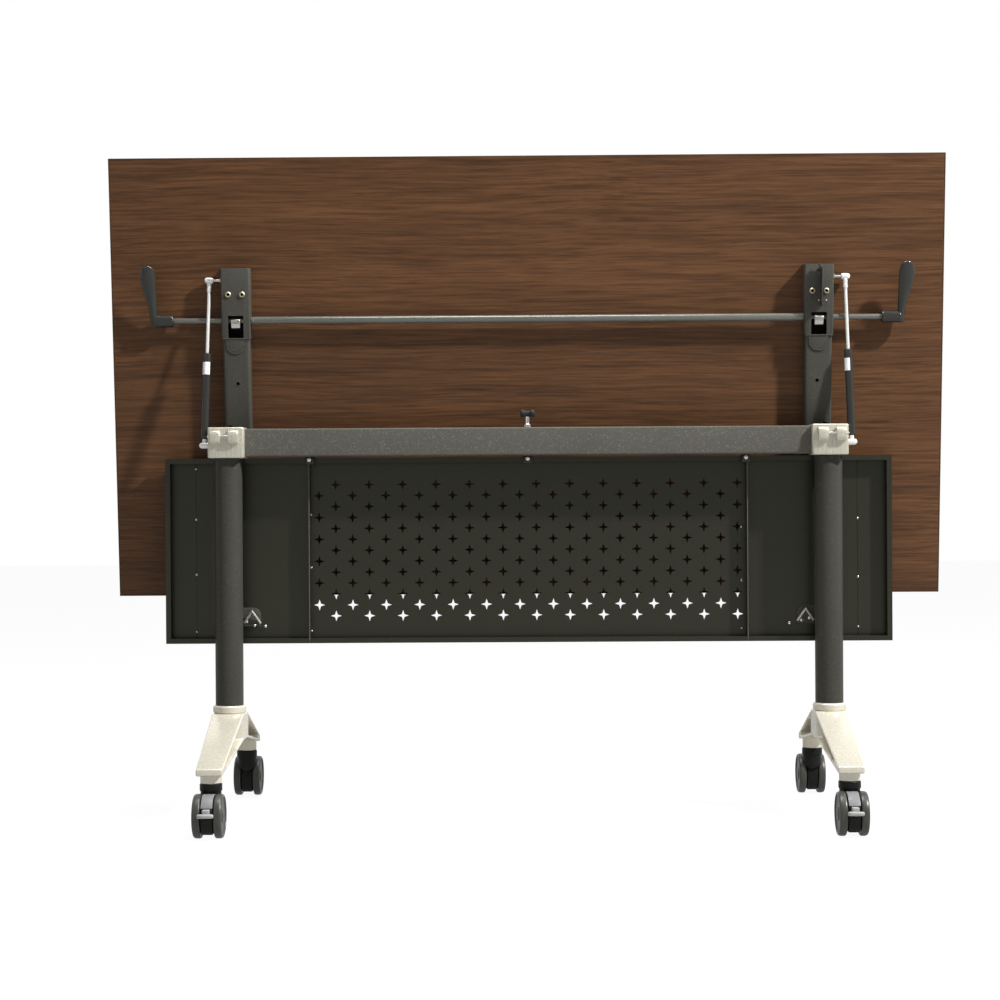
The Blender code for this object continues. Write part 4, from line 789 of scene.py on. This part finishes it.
# Profiles of a gas strut about its own run, from the upper eye down, as (radius, along).
STRUT_EYE = [
    (0, 0.009), (0.0026, 0.0087), (0.0046, 0.007), (0.0056, 0.004), (0.0056, -0.006),
    (0.0046, -0.007), (0.0028, -0.007), (0.0028, 0.0028), (0, 0.0028),
]
STRUT_ROD = [
    (0, -0.004), (0.0042, -0.004), (0.0042, -0.0115), (0.0036, -0.012), (0.0036, -0.0128),
    (0.0042, -0.0133), (0.0042, -0.02), (0.003, -0.0215), (0.003, -0.15), (0, -0.15),
]
STRUT_BARREL = [
    (0, -0.188), (0.0033, -0.188), (0.0033, -0.132), (0.006, -0.132), (0.0074, -0.1335),
    (0.0074, -0.1465), (0.007, -0.1475), (0.007, -0.2815), (0.0052, -0.2866), (0, -0.287),
]
STRUT_SOCKET = [
    (0, 0.0095), (0.0026, 0.009), (0.0046, 0.0072), (0.0056, 0.0045), (0.0056, -0.0065),
    (0.005, -0.007), (0, -0.007),
]
STRUT_NECK = [(0, -0.2873), (0.004, -0.2873), (0.004, -0.2966), (0, -0.2966)]
LABEL_TOP = -0.1485
LABEL_GAPS = {"left": 0.0062, "right": 0.0012}      # the label ends at this place across the strut


class StrutOperator(bpy.types.Operator):
    """Turns the gas struts about their own run: rod with eye and collar, cylinder with its black
    collar and blank label, and the lower socket."""

    bl_idname = "table.struts"
    bl_label = "Gas struts"

    def execute(self, context):
        label_end = LABEL_TOP - context.scene.table_sizes.label_height
        wrap = [(0.0069, LABEL_TOP), (0.0072, LABEL_TOP), (0.0072, label_end), (0.0069, label_end)]
        for name, side in SIDES.items():
            run = np.array(JOINTS[f"{name}_strut_slide"]["axis"])
            across = np.array([1.0, 0, 0]) - run * run[0]
            across /= np.linalg.norm(across)
            place = carrier(
                np.stack([across, np.cross(run, across), run], 1), JOINTS[f"{name}_strut_swing"]["pos_m"]
            )
            upper, lower = f"{name}_strut_rod", f"{name}_strut_cylinder"
            parts = [
                revolve(STRUT_EYE, 0, sides=32, radius=0.0006, side=side),
                revolve(STRUT_ROD, 2, sides=32, radius=0.0003),
            ]
            make_piece(f"{name}_piston_rod", parts, "bright", upper, "chrome", upper, carry=place)
            barrel = revolve(STRUT_BARREL, 2, sides=48, radius=0.0006)
            make_piece(f"{name}_strut_barrel", [barrel], "gloss", lower, "black_plastic", lower,
                       carry=place)
            label = cut(
                revolve(wrap, 2, sides=48, ring=True),
                block((LABEL_GAPS[name], -0.02, -0.2), (0.02, 0.02, -0.13)),
            )
            make_piece(f"{name}_blank_label", [label], "label", lower, "grey_plastic", carry=place)
            parts = [
                revolve(STRUT_SOCKET, 0, (0, 0, -0.29863), 32, radius=0.0006, side=side),
                revolve(STRUT_NECK, 2, sides=32),
            ]
            make_piece(f"{name}_strut_socket", parts, "bright", lower, "zinc", f"{name}_strut_foot",
                       carry=place)
        return {"FINISHED"}


# Heights of the hinge and of the beam's middle.
HINGE_Z = 0.667
BEAM_Z = 0.6675


class BeamOperator(bpy.types.Operator):
    """Draws the beam as a hollow rounded rectangle carried along X, with its three hangers."""

    bl_idname = "table.beam"
    bl_label = "Beam"

    def execute(self, context):
        outer = rectangle((0, BEAM_Z), (0.02, 0.025), 0.0036, 5)
        inner = rectangle((0, BEAM_Z), (0.018, 0.023), 0.0016, 5)
        beam = hollow_bar(outer, inner, 0, -0.5043, 0.5043)
        make_piece("drawn_beam", [beam], "beam", "frame", "powder_coat", "beam")
        # The hangers take the panel's near-black coat instead of the beam's paint: painted shade, for the
        # shade under the beam.
        hangers = [block((x - 0.008, 0.014, 0.6285), (x + 0.008, 0.0257, 0.642), 0.001)
                   for x in (-0.392, 0, 0.392)]
        make_piece("panel_hangers", hangers, "panel", "frame", "powder_coat", "beam")
        return {"FINISHED"}


class BracketOperator(bpy.types.Operator):
    """Casts the brackets: a block with quarter-round edges, hollowed from behind, with two lugs
    whose outline is softened to a round front, and the cross pin through them."""

    bl_idname = "table.brackets"
    bl_label = "Brackets and cross pins"

    def execute(self, context):
        bow = arc((0, HINGE_Z), 0.0305, 68, 37, 12)      # cut back about the hinge, for the arm's tail
        bow = [*bow, (0.06, bow[-1][1]), (0.06, 0.73), (bow[0][0], 0.73)]
        outline = [
            (-0.032, 0.6895), (-0.034, 0.6895), (-0.0415, 0.6895), (-0.045, 0.683),
            (-0.045, 0.6715), (-0.0415, 0.666), (-0.034, 0.6645), (-0.032, 0.6645),
        ]
        lug = soften(outline, 0.0035)
        pin = (0, -0.0395, 0.678)
        tenon = rectangle((0, BEAM_Z), (0.0175, 0.0225), 0.0016)
        for name, side in SIDES.items():
            inner, outer, wall = side * 0.5046, side * 0.5694, side * 0.005
            bore = cylinder(0.0028, 0, inner, outer, pin)
            parts = [
                cut(
                    block((inner, -0.034, 0.64), (outer, 0.024, 0.695), 0.0026),
                    block((inner + wall, -0.03, 0.646), (outer - wall, 0.05, 0.72), 0.001),
                    slab(bow, 0, inner - wall, outer + wall),
                ),
                *[cut(slab(lug, 0, side * (x - 0.009), side * (x + 0.009), 0.0014), bore)
                  for x in (0.5235, 0.5555)],
                cylinder(0.015, 0, side * 0.5326, side * 0.567, (0, 0, HINGE_Z), rim=0.0005, sides=48),
                cylinder(0.012, 0, side * 0.5071, side * 0.5106, (0, 0, HINGE_Z), rim=0.0003, sides=48),
                slab(tenon, 0, side * 0.4666, side * 0.5071, 0.001),
            ]
            make_piece(f"{name}_cast_bracket", parts, "nickel", "frame", "nickel", f"{name}_bracket")
            pin_rod = cylinder(0.0025, 0, side * 0.5145, side * 0.5689, pin, rim=0.0006)
            make_piece(f"{name}_turned_pin", [pin_rod], "zinc", "frame", "nickel", f"{name}_cross_pin")
        return {"FINISHED"}


class ColumnOperator(bpy.types.Operator):
    """Turns the two columns from a tube's section."""

    bl_idname = "table.columns"
    bl_label = "Columns"

    def execute(self, context):
        low, high = COLUMN_LOW[2], COLUMN_HIGH[2]
        outer, inner = COLUMN_RADIUS, COLUMN_RADIUS - 0.0025
        profile = [(inner, low), (outer, low), (outer, high), (inner, high)]
        for name, side in SIDES.items():
            wall = revolve(profile, 2, (side * LEG_X, 0, 0), radius=0.0005, ring=True)
            make_piece(f"{name}_column_tube", [wall], "column", "frame", "powder_coat", f"{name}_column")
        return {"FINISHED"}


def foot_surface(radius):
    """The foot's arm: at each distance y from the column a rounded rectangle of half width w(y)
    between heights b(y) and t(y), whose sides sink by a smooth pocket depth p(y, z)."""
    reach, root = 0.259, 0.0285
    turn = np.linspace(0, np.pi / 2, 5)
    rise_in = radius * (1 - np.cos(turn))
    y = np.concatenate([
        rise_in - reach, np.linspace(radius - reach, reach - radius, 181)[1:-1], (reach - rise_in)[::-1]
    ])[:, None]
    ends = radius * (1 - np.sin(turn))
    shrink = np.concatenate([ends, np.zeros(179), ends[::-1]])[:, None]
    share = np.clip((np.abs(y) - root) / (reach - root), 0, 1)
    width = root - 0.006 * share - shrink
    top = 0.184 - 0.069 * share - shrink
    bottom = 0.136 - 0.033 * share + shrink
    side_steps = np.linspace(0, 1, 29)[1:-1]
    x_rows, z_rows = [], []
    for sign_x, sign_z in ((1, -1), (1, 1), (-1, 1), (-1, -1)):
        before_side = sign_x * sign_z < 0
        angles = turn if before_side else turn[::-1]
        x_rows.append(sign_x * (width - radius + radius * np.sin(angles)))
        z_rows.append((bottom if sign_z < 0 else top) - sign_z * (radius - radius * np.cos(angles)))
        if before_side:
            low, high = bottom + radius, top - radius
            z = low + (high - low) * (side_steps if sign_x > 0 else side_steps[::-1])
            x_rows.append(sign_x * (width - pocket_depth(y, z, width, top, bottom)))
            z_rows.append(z)
    x = np.hstack(x_rows)
    return surface(np.stack([x, np.broadcast_to(y, x.shape), np.hstack(z_rows)], -1))


def rise(value, width):
    """A step from 0 to 1 over a width: 3 u^2 - 2 u^3."""
    u = np.clip(value / width, 0, 1)
    return 3 * u**2 - 2 * u**3


def pocket_depth(y, z, width, top, bottom):
    """All but half a web, between the walls above and below and the pocket's two ends."""
    half_web, wall, start, end = 0.006, 0.0045, 0.0385, 0.219
    inside = rise(np.abs(y) - start, 0.004) * rise(end - np.abs(y), 0.004)
    inside = inside * rise(z - bottom - wall, 0.003) * rise(top - wall - z, 0.003)
    return inside * (width - half_web)


class FootOperator(bpy.types.Operator):
    """Casts the feet: a lofted arm with pockets, a turned collar and two bored necks."""

    bl_idname = "table.feet"
    bl_label = "Feet"

    def execute(self, context):
        collar = [
            (0, 0.164), (0.0245, 0.164), (0.0245, 0.1815), (0.0295, 0.186), (0.0295, 0.1955),
            (0.027, 0.198), (0.0222, 0.198), (0.0222, 0.234), (0.0202, 0.236), (0, 0.236),
        ]
        neck = [(0.0055, 0.0895), (0.017, 0.0895), (0.018, 0.0905), (0.018, 0.1094), (0.0055, 0.1094)]
        arm = foot_surface(context.scene.table_sizes.casting_radius)
        for name, side in SIDES.items():
            x = side * LEG_X
            parts = [
                (arm[0] + (x, 0, 0), arm[1]),
                revolve(collar, 2, (x, 0, 0), radius=0.001),
                *[revolve(neck, 2, (x, y, 0), 48, ring=True) for y in (-0.235, 0.235)],
            ]
            make_piece(f"{name}_cast_foot", parts, "casting", "frame", "polished_aluminium",
                       f"{name}_foot", sharp=40)
        return {"FINISHED"}


class PanelOperator(bpy.types.Operator):
    """Coats the modesty panel and adds its seams, rivets, screws and pale strips of painted highlight."""

    bl_idname = "table.panel"
    bl_label = "Modesty panel"

    def execute(self, context):
        for node in ("panel_centre", "left_panel_wing", "right_panel_wing"):
            adopt(node, "panel")
        sheet, lip = 0.0448, 0.0256
        low, high = 0.309, 0.637
        seams = [block((x - 0.0006, sheet - 0.0006, low), (x + 0.0006, sheet + 0.0004, high), 0.0003)
                 for x in (-0.602, 0.596)]
        # Pale strips at the lips and along the bottom edge: painted highlights where these edges catch the
        # light.
        trim = [block((x - 0.0006, lip, low), (x + 0.0006, lip + 0.0012, high), 0.0003)
                for x in (-0.3953, 0.3953)]
        trim += [block((start, sheet - 0.0008, 0.3127), (end, sheet + 0.0004, 0.3139), 0.0003)
                 for start, end in ((-0.645, -0.406), (-0.386, 0.386), (0.406, 0.645))]
        rows = {
            -0.3935: (0.538, 0.442, 0.327), 0.386: (0.512, 0.415, 0.328),
            -0.602: (0.622, 0.53, 0.43, 0.326), 0.596: (0.526, 0.42, 0.33),
        }
        rivets = [dome(0.0022, 0.0012, 1, (x, sheet, z), 16) for x, row in rows.items() for z in row]
        screws = [dome(0.0038, 0.002, 1, (x, 0.0141, 0.637)) for x in (-0.3935, 0, 0.392)]
        for name, parts, look, slot in (
            ("panel_seams", seams, "panel", "panel_steel"), ("panel_trim", trim, "trim", "panel_steel"),
            ("panel_rivets", rivets, "zinc", "zinc"), ("panel_screws", screws, "bright", "zinc"),
        ):
            make_piece(name, parts, look, "frame", slot)
        return {"FINISHED"}


class ClipOperator(bpy.types.Operator):
    """Cuts the clips from a plate with round corners, with saddle, bent strap and screws."""

    bl_idname = "table.clips"
    bl_label = "Panel clips"

    def execute(self, context):
        screws = {
            "left": [(-0.511, 0.3445), (-0.4968, 0.3375), (-0.477, 0.336)],
            "right": [(0.493, 0.3427), (0.5076, 0.3463), (0.4716, 0.3373)],
        }
        outline = np.array([
            (0.547, 0.336), (0.547, 0.37), (0.499, 0.37), *arc((0.499, 0.356), 0.014, 90, 180, 10),
            (0.485, 0.336),
        ])
        bends = np.array([(0.515, 0.04, 0.343), (0.5, 0.033, 0.364), (0.486, 0.04, 0.342)])
        way = np.linspace(0, 1, 6)[:, None]
        for name, side in SIDES.items():
            parts = [
                slab(outline * (side, 1), 1, 0.0415, 0.0445, 0.0008),
                block((side * 0.527, 0.0253, 0.34), (side * 0.5465, 0.043, 0.366), 0.0015),
            ]
            make_piece(f"{name}_plate_clip", parts, "paint", "frame", "powder_coat", f"{name}_panel_clip")
            start, peak, end = bends * (side, 1, 1)
            strap = tube(np.vstack([start + (peak - start) * way, peak + (end - peak) * way[1:]]), 0.0022)
            make_piece(f"{name}_clip_strap", [strap], "nickel", "frame", "nickel")
            heads = [dome(0.0036, 0.003, 1, (x, 0.0415, z)) for x, z in screws[name]]
            make_piece(f"{name}_clip_screws", heads, "chrome", "frame", "zinc")
        return {"FINISHED"}


class BumperOperator(bpy.types.Operator):
    """Turns the rubber bumper with its waist, and its screw with a flange."""

    bl_idname = "table.bumper"
    bl_label = "Bumper"

    def execute(self, context):
        roller = [
            (0, -0.013), (0.0055, -0.013), (0.007, -0.0115), (0.007, -0.006), (0.005, -0.0045),
            (0.005, 0.0045), (0.007, 0.006), (0.007, 0.0115), (0.0055, 0.013), (0, 0.013),
        ]
        part = revolve(roller, 0, (0, 0, 0.7177), 48, radius=0.0008)
        make_piece("moulded_bumper", [part], "rubber", "frame", "tread", "bumper")
        screw = [
            (0, 0.6928), (0.007, 0.6928), (0.007, 0.6972), (0.0055, 0.6988), (0.004, 0.699),
            (0.004, 0.712), (0, 0.7124),
        ]
        part = revolve(screw, 2, sides=48, radius=0.0005)
        make_piece("turned_bumper_screw", [part], "chrome", "frame", "chrome", "bumper_screw")
        return {"FINISHED"}


SPRING_TURNS = 4
SPRING_RADIUS = 0.0039


class LockOperator(bpy.types.Operator):
    """Gives the hidden lock bars the near-black painted shade, finishes the hinge pins, and coils the bars'
    springs, drawn as they are when pressed: centre + r (cos 2 pi n t, sin 2 pi n t) carried along Y."""

    bl_idname = "table.locks"
    bl_label = "Lock bars, springs and hinge pins"

    def execute(self, context):
        t = np.linspace(0, 1, 97)
        turn = 2 * np.pi * SPRING_TURNS * t
        for name, side in SIDES.items():
            # The lock bars are near black as painted shade, so the arms' windows look dark.
            adopt(f"{name}_lock_bar", "dark")
            coil = np.stack([
                side * ARM_X + SPRING_RADIUS * np.cos(turn), -0.2442 - 0.0146 * t,
                ROD_OFFSET + SPRING_RADIUS * np.sin(turn),
            ], 1)
            make_piece(f"{name}_lock_coil", [tube(coil, 0.0006)], "zinc", "top", "zinc",
                       f"{name}_lock_spring")
            adopt(f"{name}_hinge_pin", "zinc")
        return {"FINISHED"}


WHEEL_RADIUS = 0.0375
TRAIL = 0.025
AXLE = (0, -TRAIL, WHEEL_RADIUS)
WHEEL = [
    (0.0043, 0.0113), (0.0345, 0.0113), (0.0364, 0.0122), (0.0371, 0.0142), (0.0371, 0.0196),
    (0.0366, 0.0225), (0.0352, 0.0244), (0.0334, 0.025), (0.0324, 0.0248), (0.0316, 0.0232),
    (0.0302, 0.0226), (0.013, 0.023), (0.0115, 0.0248), (0.01, 0.025), (0.0043, 0.025),
]


class CasterOperator(bpy.types.Operator):
    """Turns the casters' collars and wheels, extrudes the round hood between the wheels, and
    outlines the brake tongue with the superellipse |x/a|^2.5 + |y/b|^2.5 = 1."""

    bl_idname = "table.casters"
    bl_label = "Casters"

    def execute(self, context):
        for end, turn in (("front", 0.0), ("rear", math.pi)):
            for name in SIDES:
                label = f"{end}_{name}"
                spot = JOINTS[f"{label}_swivel"]["pos_m"]
                place = carrier(Matrix.Rotation(turn, 3, "Z"), (spot[0], spot[1], 0))
                parts = collar_parts() + hood_parts(end == "front")
                make_piece(f"{label}_caster_hood", parts, "collar", f"{label}_caster", "black_plastic",
                           f"{label}_caster_fork", carry=place)
                for where, side in SIDES.items():
                    wheel = revolve(WHEEL, 0, AXLE, radius=0.0009, ring=True, side=side)
                    make_piece(f"{label}_{where}_roller", [wheel], "wheel", f"{label}_{where}_wheel",
                               "tread", f"{label}_{where}_wheel", carry=place)
                # On the front casters a pale shell over the hood's upper front is painted light; the rest
                # of the hood and the rear hoods stay black.
                if end == "front":
                    make_piece(f"{label}_caster_lit_cover", lit_cover_parts(), "hood", f"{label}_caster",
                               "grey_plastic", carry=place)
                    make_piece(f"{label}_brake_tongue", pedal_parts(), "pedal", f"{label}_pedal",
                               "grey_plastic", f"{label}_brake_pedal", carry=place)
        return {"FINISHED"}


def collar_parts():
    """The stem and the round neck under the foot, with room cut for the wheels."""
    profile = [
        (0, 0.103), (0.005, 0.103), (0.005, 0.0889), (0.0182, 0.0889), (0.019, 0.088),
        (0.019, 0.0772), (0.0175, 0.0764), (0.0175, 0.056), (0.0125, 0.05), (0, 0.05),
    ]
    neck = revolve(profile, 2, sides=64, radius=0.0006)
    room = [cylinder(WHEEL_RADIUS + 0.001, 0, way * 0.011, way * 0.04, AXLE, sides=96) for way in (-1, 1)]
    return [cut(neck, *room)]


def hood_parts(braked):
    """The round hood between the wheels, with a gap for the brake's arm, and the axle."""
    radius = 0.0355
    drop = math.degrees(math.asin((WHEEL_RADIUS - 0.009) / radius))
    hood = slab(arc(AXLE[1:], radius, -drop, 180 + drop, 64), 0, -0.0105, 0.0105, 0.003, 5)
    if braked:
        hood = cut(hood, block((-0.0065, -0.072, 0.036), (0.0065, -0.039, 0.058), 0.0005))
    return [hood, cylinder(0.004, 0, -0.025, 0.025, AXLE, rim=0.0006, sides=32)]


def lit_cover_parts():
    """The pale shell over the hood's upper front, where the light falls, is painted light: an arc of two
    radii carried along X.
    """
    outline = np.vstack([arc(AXLE[1:], 0.0364, 72, 152, 32), arc(AXLE[1:], 0.034, 152, 72, 32)])
    return [slab(outline, 0, -0.0098, 0.0098, 0.0008)]


def pedal_parts():
    """The tongue, from the superellipse |x/14|^2.5 + |y/5|^2.5 = 1 in millimetres, and its arm."""
    across, along = np.cos(full_turn(72)), np.sin(full_turn(72))
    power = 2 / 2.5
    x = 0.014 * np.sign(across) * np.abs(across) ** power
    y = -0.071 + 0.005 * np.sign(along) * np.abs(along) ** power
    return [
        slab(np.stack([x, y], 1), 2, 0.04, 0.047, 0.0028, 5),
        block((-0.006, -0.068, 0.044), (0.006, -0.043, 0.053), 0.0012),
    ]


class StageOperator(bpy.types.Operator):
    """Lays the pale floor, hangs the lamps and sets the camera."""

    bl_idname = "table.stage"
    bl_label = "Stage"

    def execute(self, context):
        size = 14.0
        mesh = bpy.data.meshes.new("floor")
        corners = [(-size, -size, 0), (size, -size, 0), (size, size, 0), (-size, size, 0)]
        mesh.from_pydata(corners, [], [(0, 1, 2, 3)])
        mesh.materials.append(floor_material())
        new_object("floor", mesh)
        make_world(context.scene)
        make_lamps()
        make_camera(context.scene)
        context.scene.view_settings.view_transform = "Standard"
        return {"FINISHED"}


def compute(tree, operation, one, two):
    return add_node(tree, "ShaderNodeMath", {0: one, 1: two}, operation=operation).outputs[0]


def seen_rays(tree):
    """One for the rays of the camera, of mirrors and of glass, and one for the camera's alone."""
    rays = add_node(tree, "ShaderNodeLightPath").outputs
    mirrored = compute(tree, "MAXIMUM", rays["Is Glossy Ray"], rays["Is Transmission Ray"])
    return compute(tree, "MAXIMUM", rays["Is Camera Ray"], mirrored), rays["Is Camera Ray"]


# The floor's own brightness for the camera and in mirrors, its grey for the light, and the grey that
# carries the shadow for the camera. Then the world's strength as light, and of its front in mirrors.
FLOOR_SEEN, FLOOR_IN_MIRRORS, FLOOR_GREY, FLOOR_SHADOW = 0.945, 0.5, 0.5, 0.09
WORLD_LIGHT, FRONT_IN_MIRRORS = 0.17, 0.3


def floor_material():
    """Floor that the camera sees near white and mirrors see pale, less diffuse to both so that the
    object's shadow stays faint."""
    material = bpy.data.materials.new("pale_floor")
    material.use_nodes = True
    tree = material.node_tree
    tree.nodes.clear()
    seen, camera_ray = seen_rays(tree)
    mirrored = compute(tree, "MULTIPLY", seen, FLOOR_IN_MIRRORS)
    glow = add_node(tree, "ShaderNodeEmission", {
        "Strength": ramp(tree, camera_ray, 0.0, 1.0, mirrored, FLOOR_SEEN)
    })
    diffuse = add_node(tree, "ShaderNodeBsdfDiffuse", {
        "Color": ramp(tree, seen, 0.0, 1.0, FLOOR_GREY, FLOOR_SHADOW)
    })
    both = add_node(tree, "ShaderNodeAddShader", {0: diffuse.outputs[0], 1: glow.outputs[0]})
    add_node(tree, "ShaderNodeOutputMaterial", {"Surface": both.outputs[0]})
    return material


def make_world(scene):
    """Even light of a modest strength, which the camera and mirrors see as a white backdrop. The room
    in front of the table, behind the camera, is dimmer in the mirrors."""
    scene.world = bpy.data.worlds.new("studio")
    scene.world.use_nodes = True
    tree = scene.world.node_tree
    tree.nodes.clear()
    way = add_node(tree, "ShaderNodeTexCoord").outputs["Generated"]
    away = add_node(tree, "ShaderNodeSeparateXYZ", {"Vector": way}).outputs["Y"]
    seen, camera_ray = seen_rays(tree)
    backdrop = compute(tree, "MAXIMUM", ramp(tree, away, -0.45, 0.35, FRONT_IN_MIRRORS), camera_ray)
    strength = ramp(tree, seen, 0.0, 1.0, WORLD_LIGHT, backdrop)
    light = add_node(tree, "ShaderNodeBackground", {"Color": (1, 1, 1, 1), "Strength": strength})
    add_node(tree, "ShaderNodeOutputWorld", {"Surface": light.outputs[0]})


def make_lamps():
    """A key lamp high on the right in front of the table, a wide lamp overhead that lights what
    faces upwards, and a weak fill from the left. Each shines at a point 0.6 m up on the middle."""
    lamps = {
        "key": (475.0, (3.65, -2.00, 4.2), 0.35),
        "overhead": (62.0, (0.0, -0.12, 2.9), 1.6),
        "fill": (8.0, (-3.0, -3.2, 2.4), 2.5),
    }
    for name, (energy, place, size) in lamps.items():
        data = bpy.data.lights.new(name, "AREA")
        data.shape = "DISK"
        data.energy = energy
        data.size = size
        lamp = new_object(name, data)
        lamp.location = place
        lamp.rotation_mode = "QUATERNION"
        lamp.rotation_quaternion = (Vector(place) - Vector((0, 0, 0.6))).to_track_quat("Z", "Y")


def make_camera(scene):
    """A long lens at table height, turned slightly to the left of the table's middle."""
    focal_length, picture_width = 2144.3, 1000     # in pixels of the photograph
    yaw, pitch, roll = (math.radians(angle) for angle in (-0.637, -0.155, 0.331))
    data = bpy.data.cameras.new("camera")
    data.sensor_width = 36.0
    data.lens = focal_length / picture_width * data.sensor_width
    data.clip_end = 100
    scene.camera = new_object("camera", data)
    scene.camera.matrix_world = (
        Matrix.Translation((-0.0073, LEG_Y - 3.8403, 0.5731))
        @ Matrix.Rotation(-yaw, 4, "Z")
        @ Matrix.Rotation(math.radians(90) + pitch, 4, "X")
        @ Matrix.Rotation(-roll, 4, "Z")
    )


OPERATORS = (
    BoardOperator, ArmOperator, HousingOperator, FixingOperator, ReleaseOperator, HandleOperator,
    StrutOperator, BeamOperator, BracketOperator, ColumnOperator, FootOperator, PanelOperator,
    ClipOperator, BumperOperator, LockOperator, CasterOperator, StageOperator,
)


class TablePanel(bpy.types.Panel):
    """Lists the table's pieces and their sizes."""

    bl_idname = "VIEW3D_PT_training_table"
    bl_label = "Training table"
    bl_space_type = "VIEW_3D"
    bl_region_type = "UI"
    bl_category = "Table"

    def draw(self, context):
        for group in (context.scene.table_sizes, context.scene.table_colours):
            for name in group.bl_rna.properties.keys():
                if name not in ("rna_type", "name"):
                    self.layout.prop(group, name)
        for operator in OPERATORS:
            self.layout.operator(operator.bl_idname)


CLASSES = (TableSizes, TableColours, *OPERATORS, TablePanel)


def register():
    for item in CLASSES:
        bpy.utils.register_class(item)
    bpy.types.Scene.table_sizes = PointerProperty(type=TableSizes)
    bpy.types.Scene.table_colours = PointerProperty(type=TableColours)


def unregister():
    del bpy.types.Scene.table_sizes
    del bpy.types.Scene.table_colours
    for item in reversed(CLASSES):
        bpy.utils.unregister_class(item)


def main():
    register()
    make_looks()
    for operator in OPERATORS:
        group, name = operator.bl_idname.split(".")
        getattr(getattr(bpy.ops, group), name)()


if __name__ == "__main__":
    main()
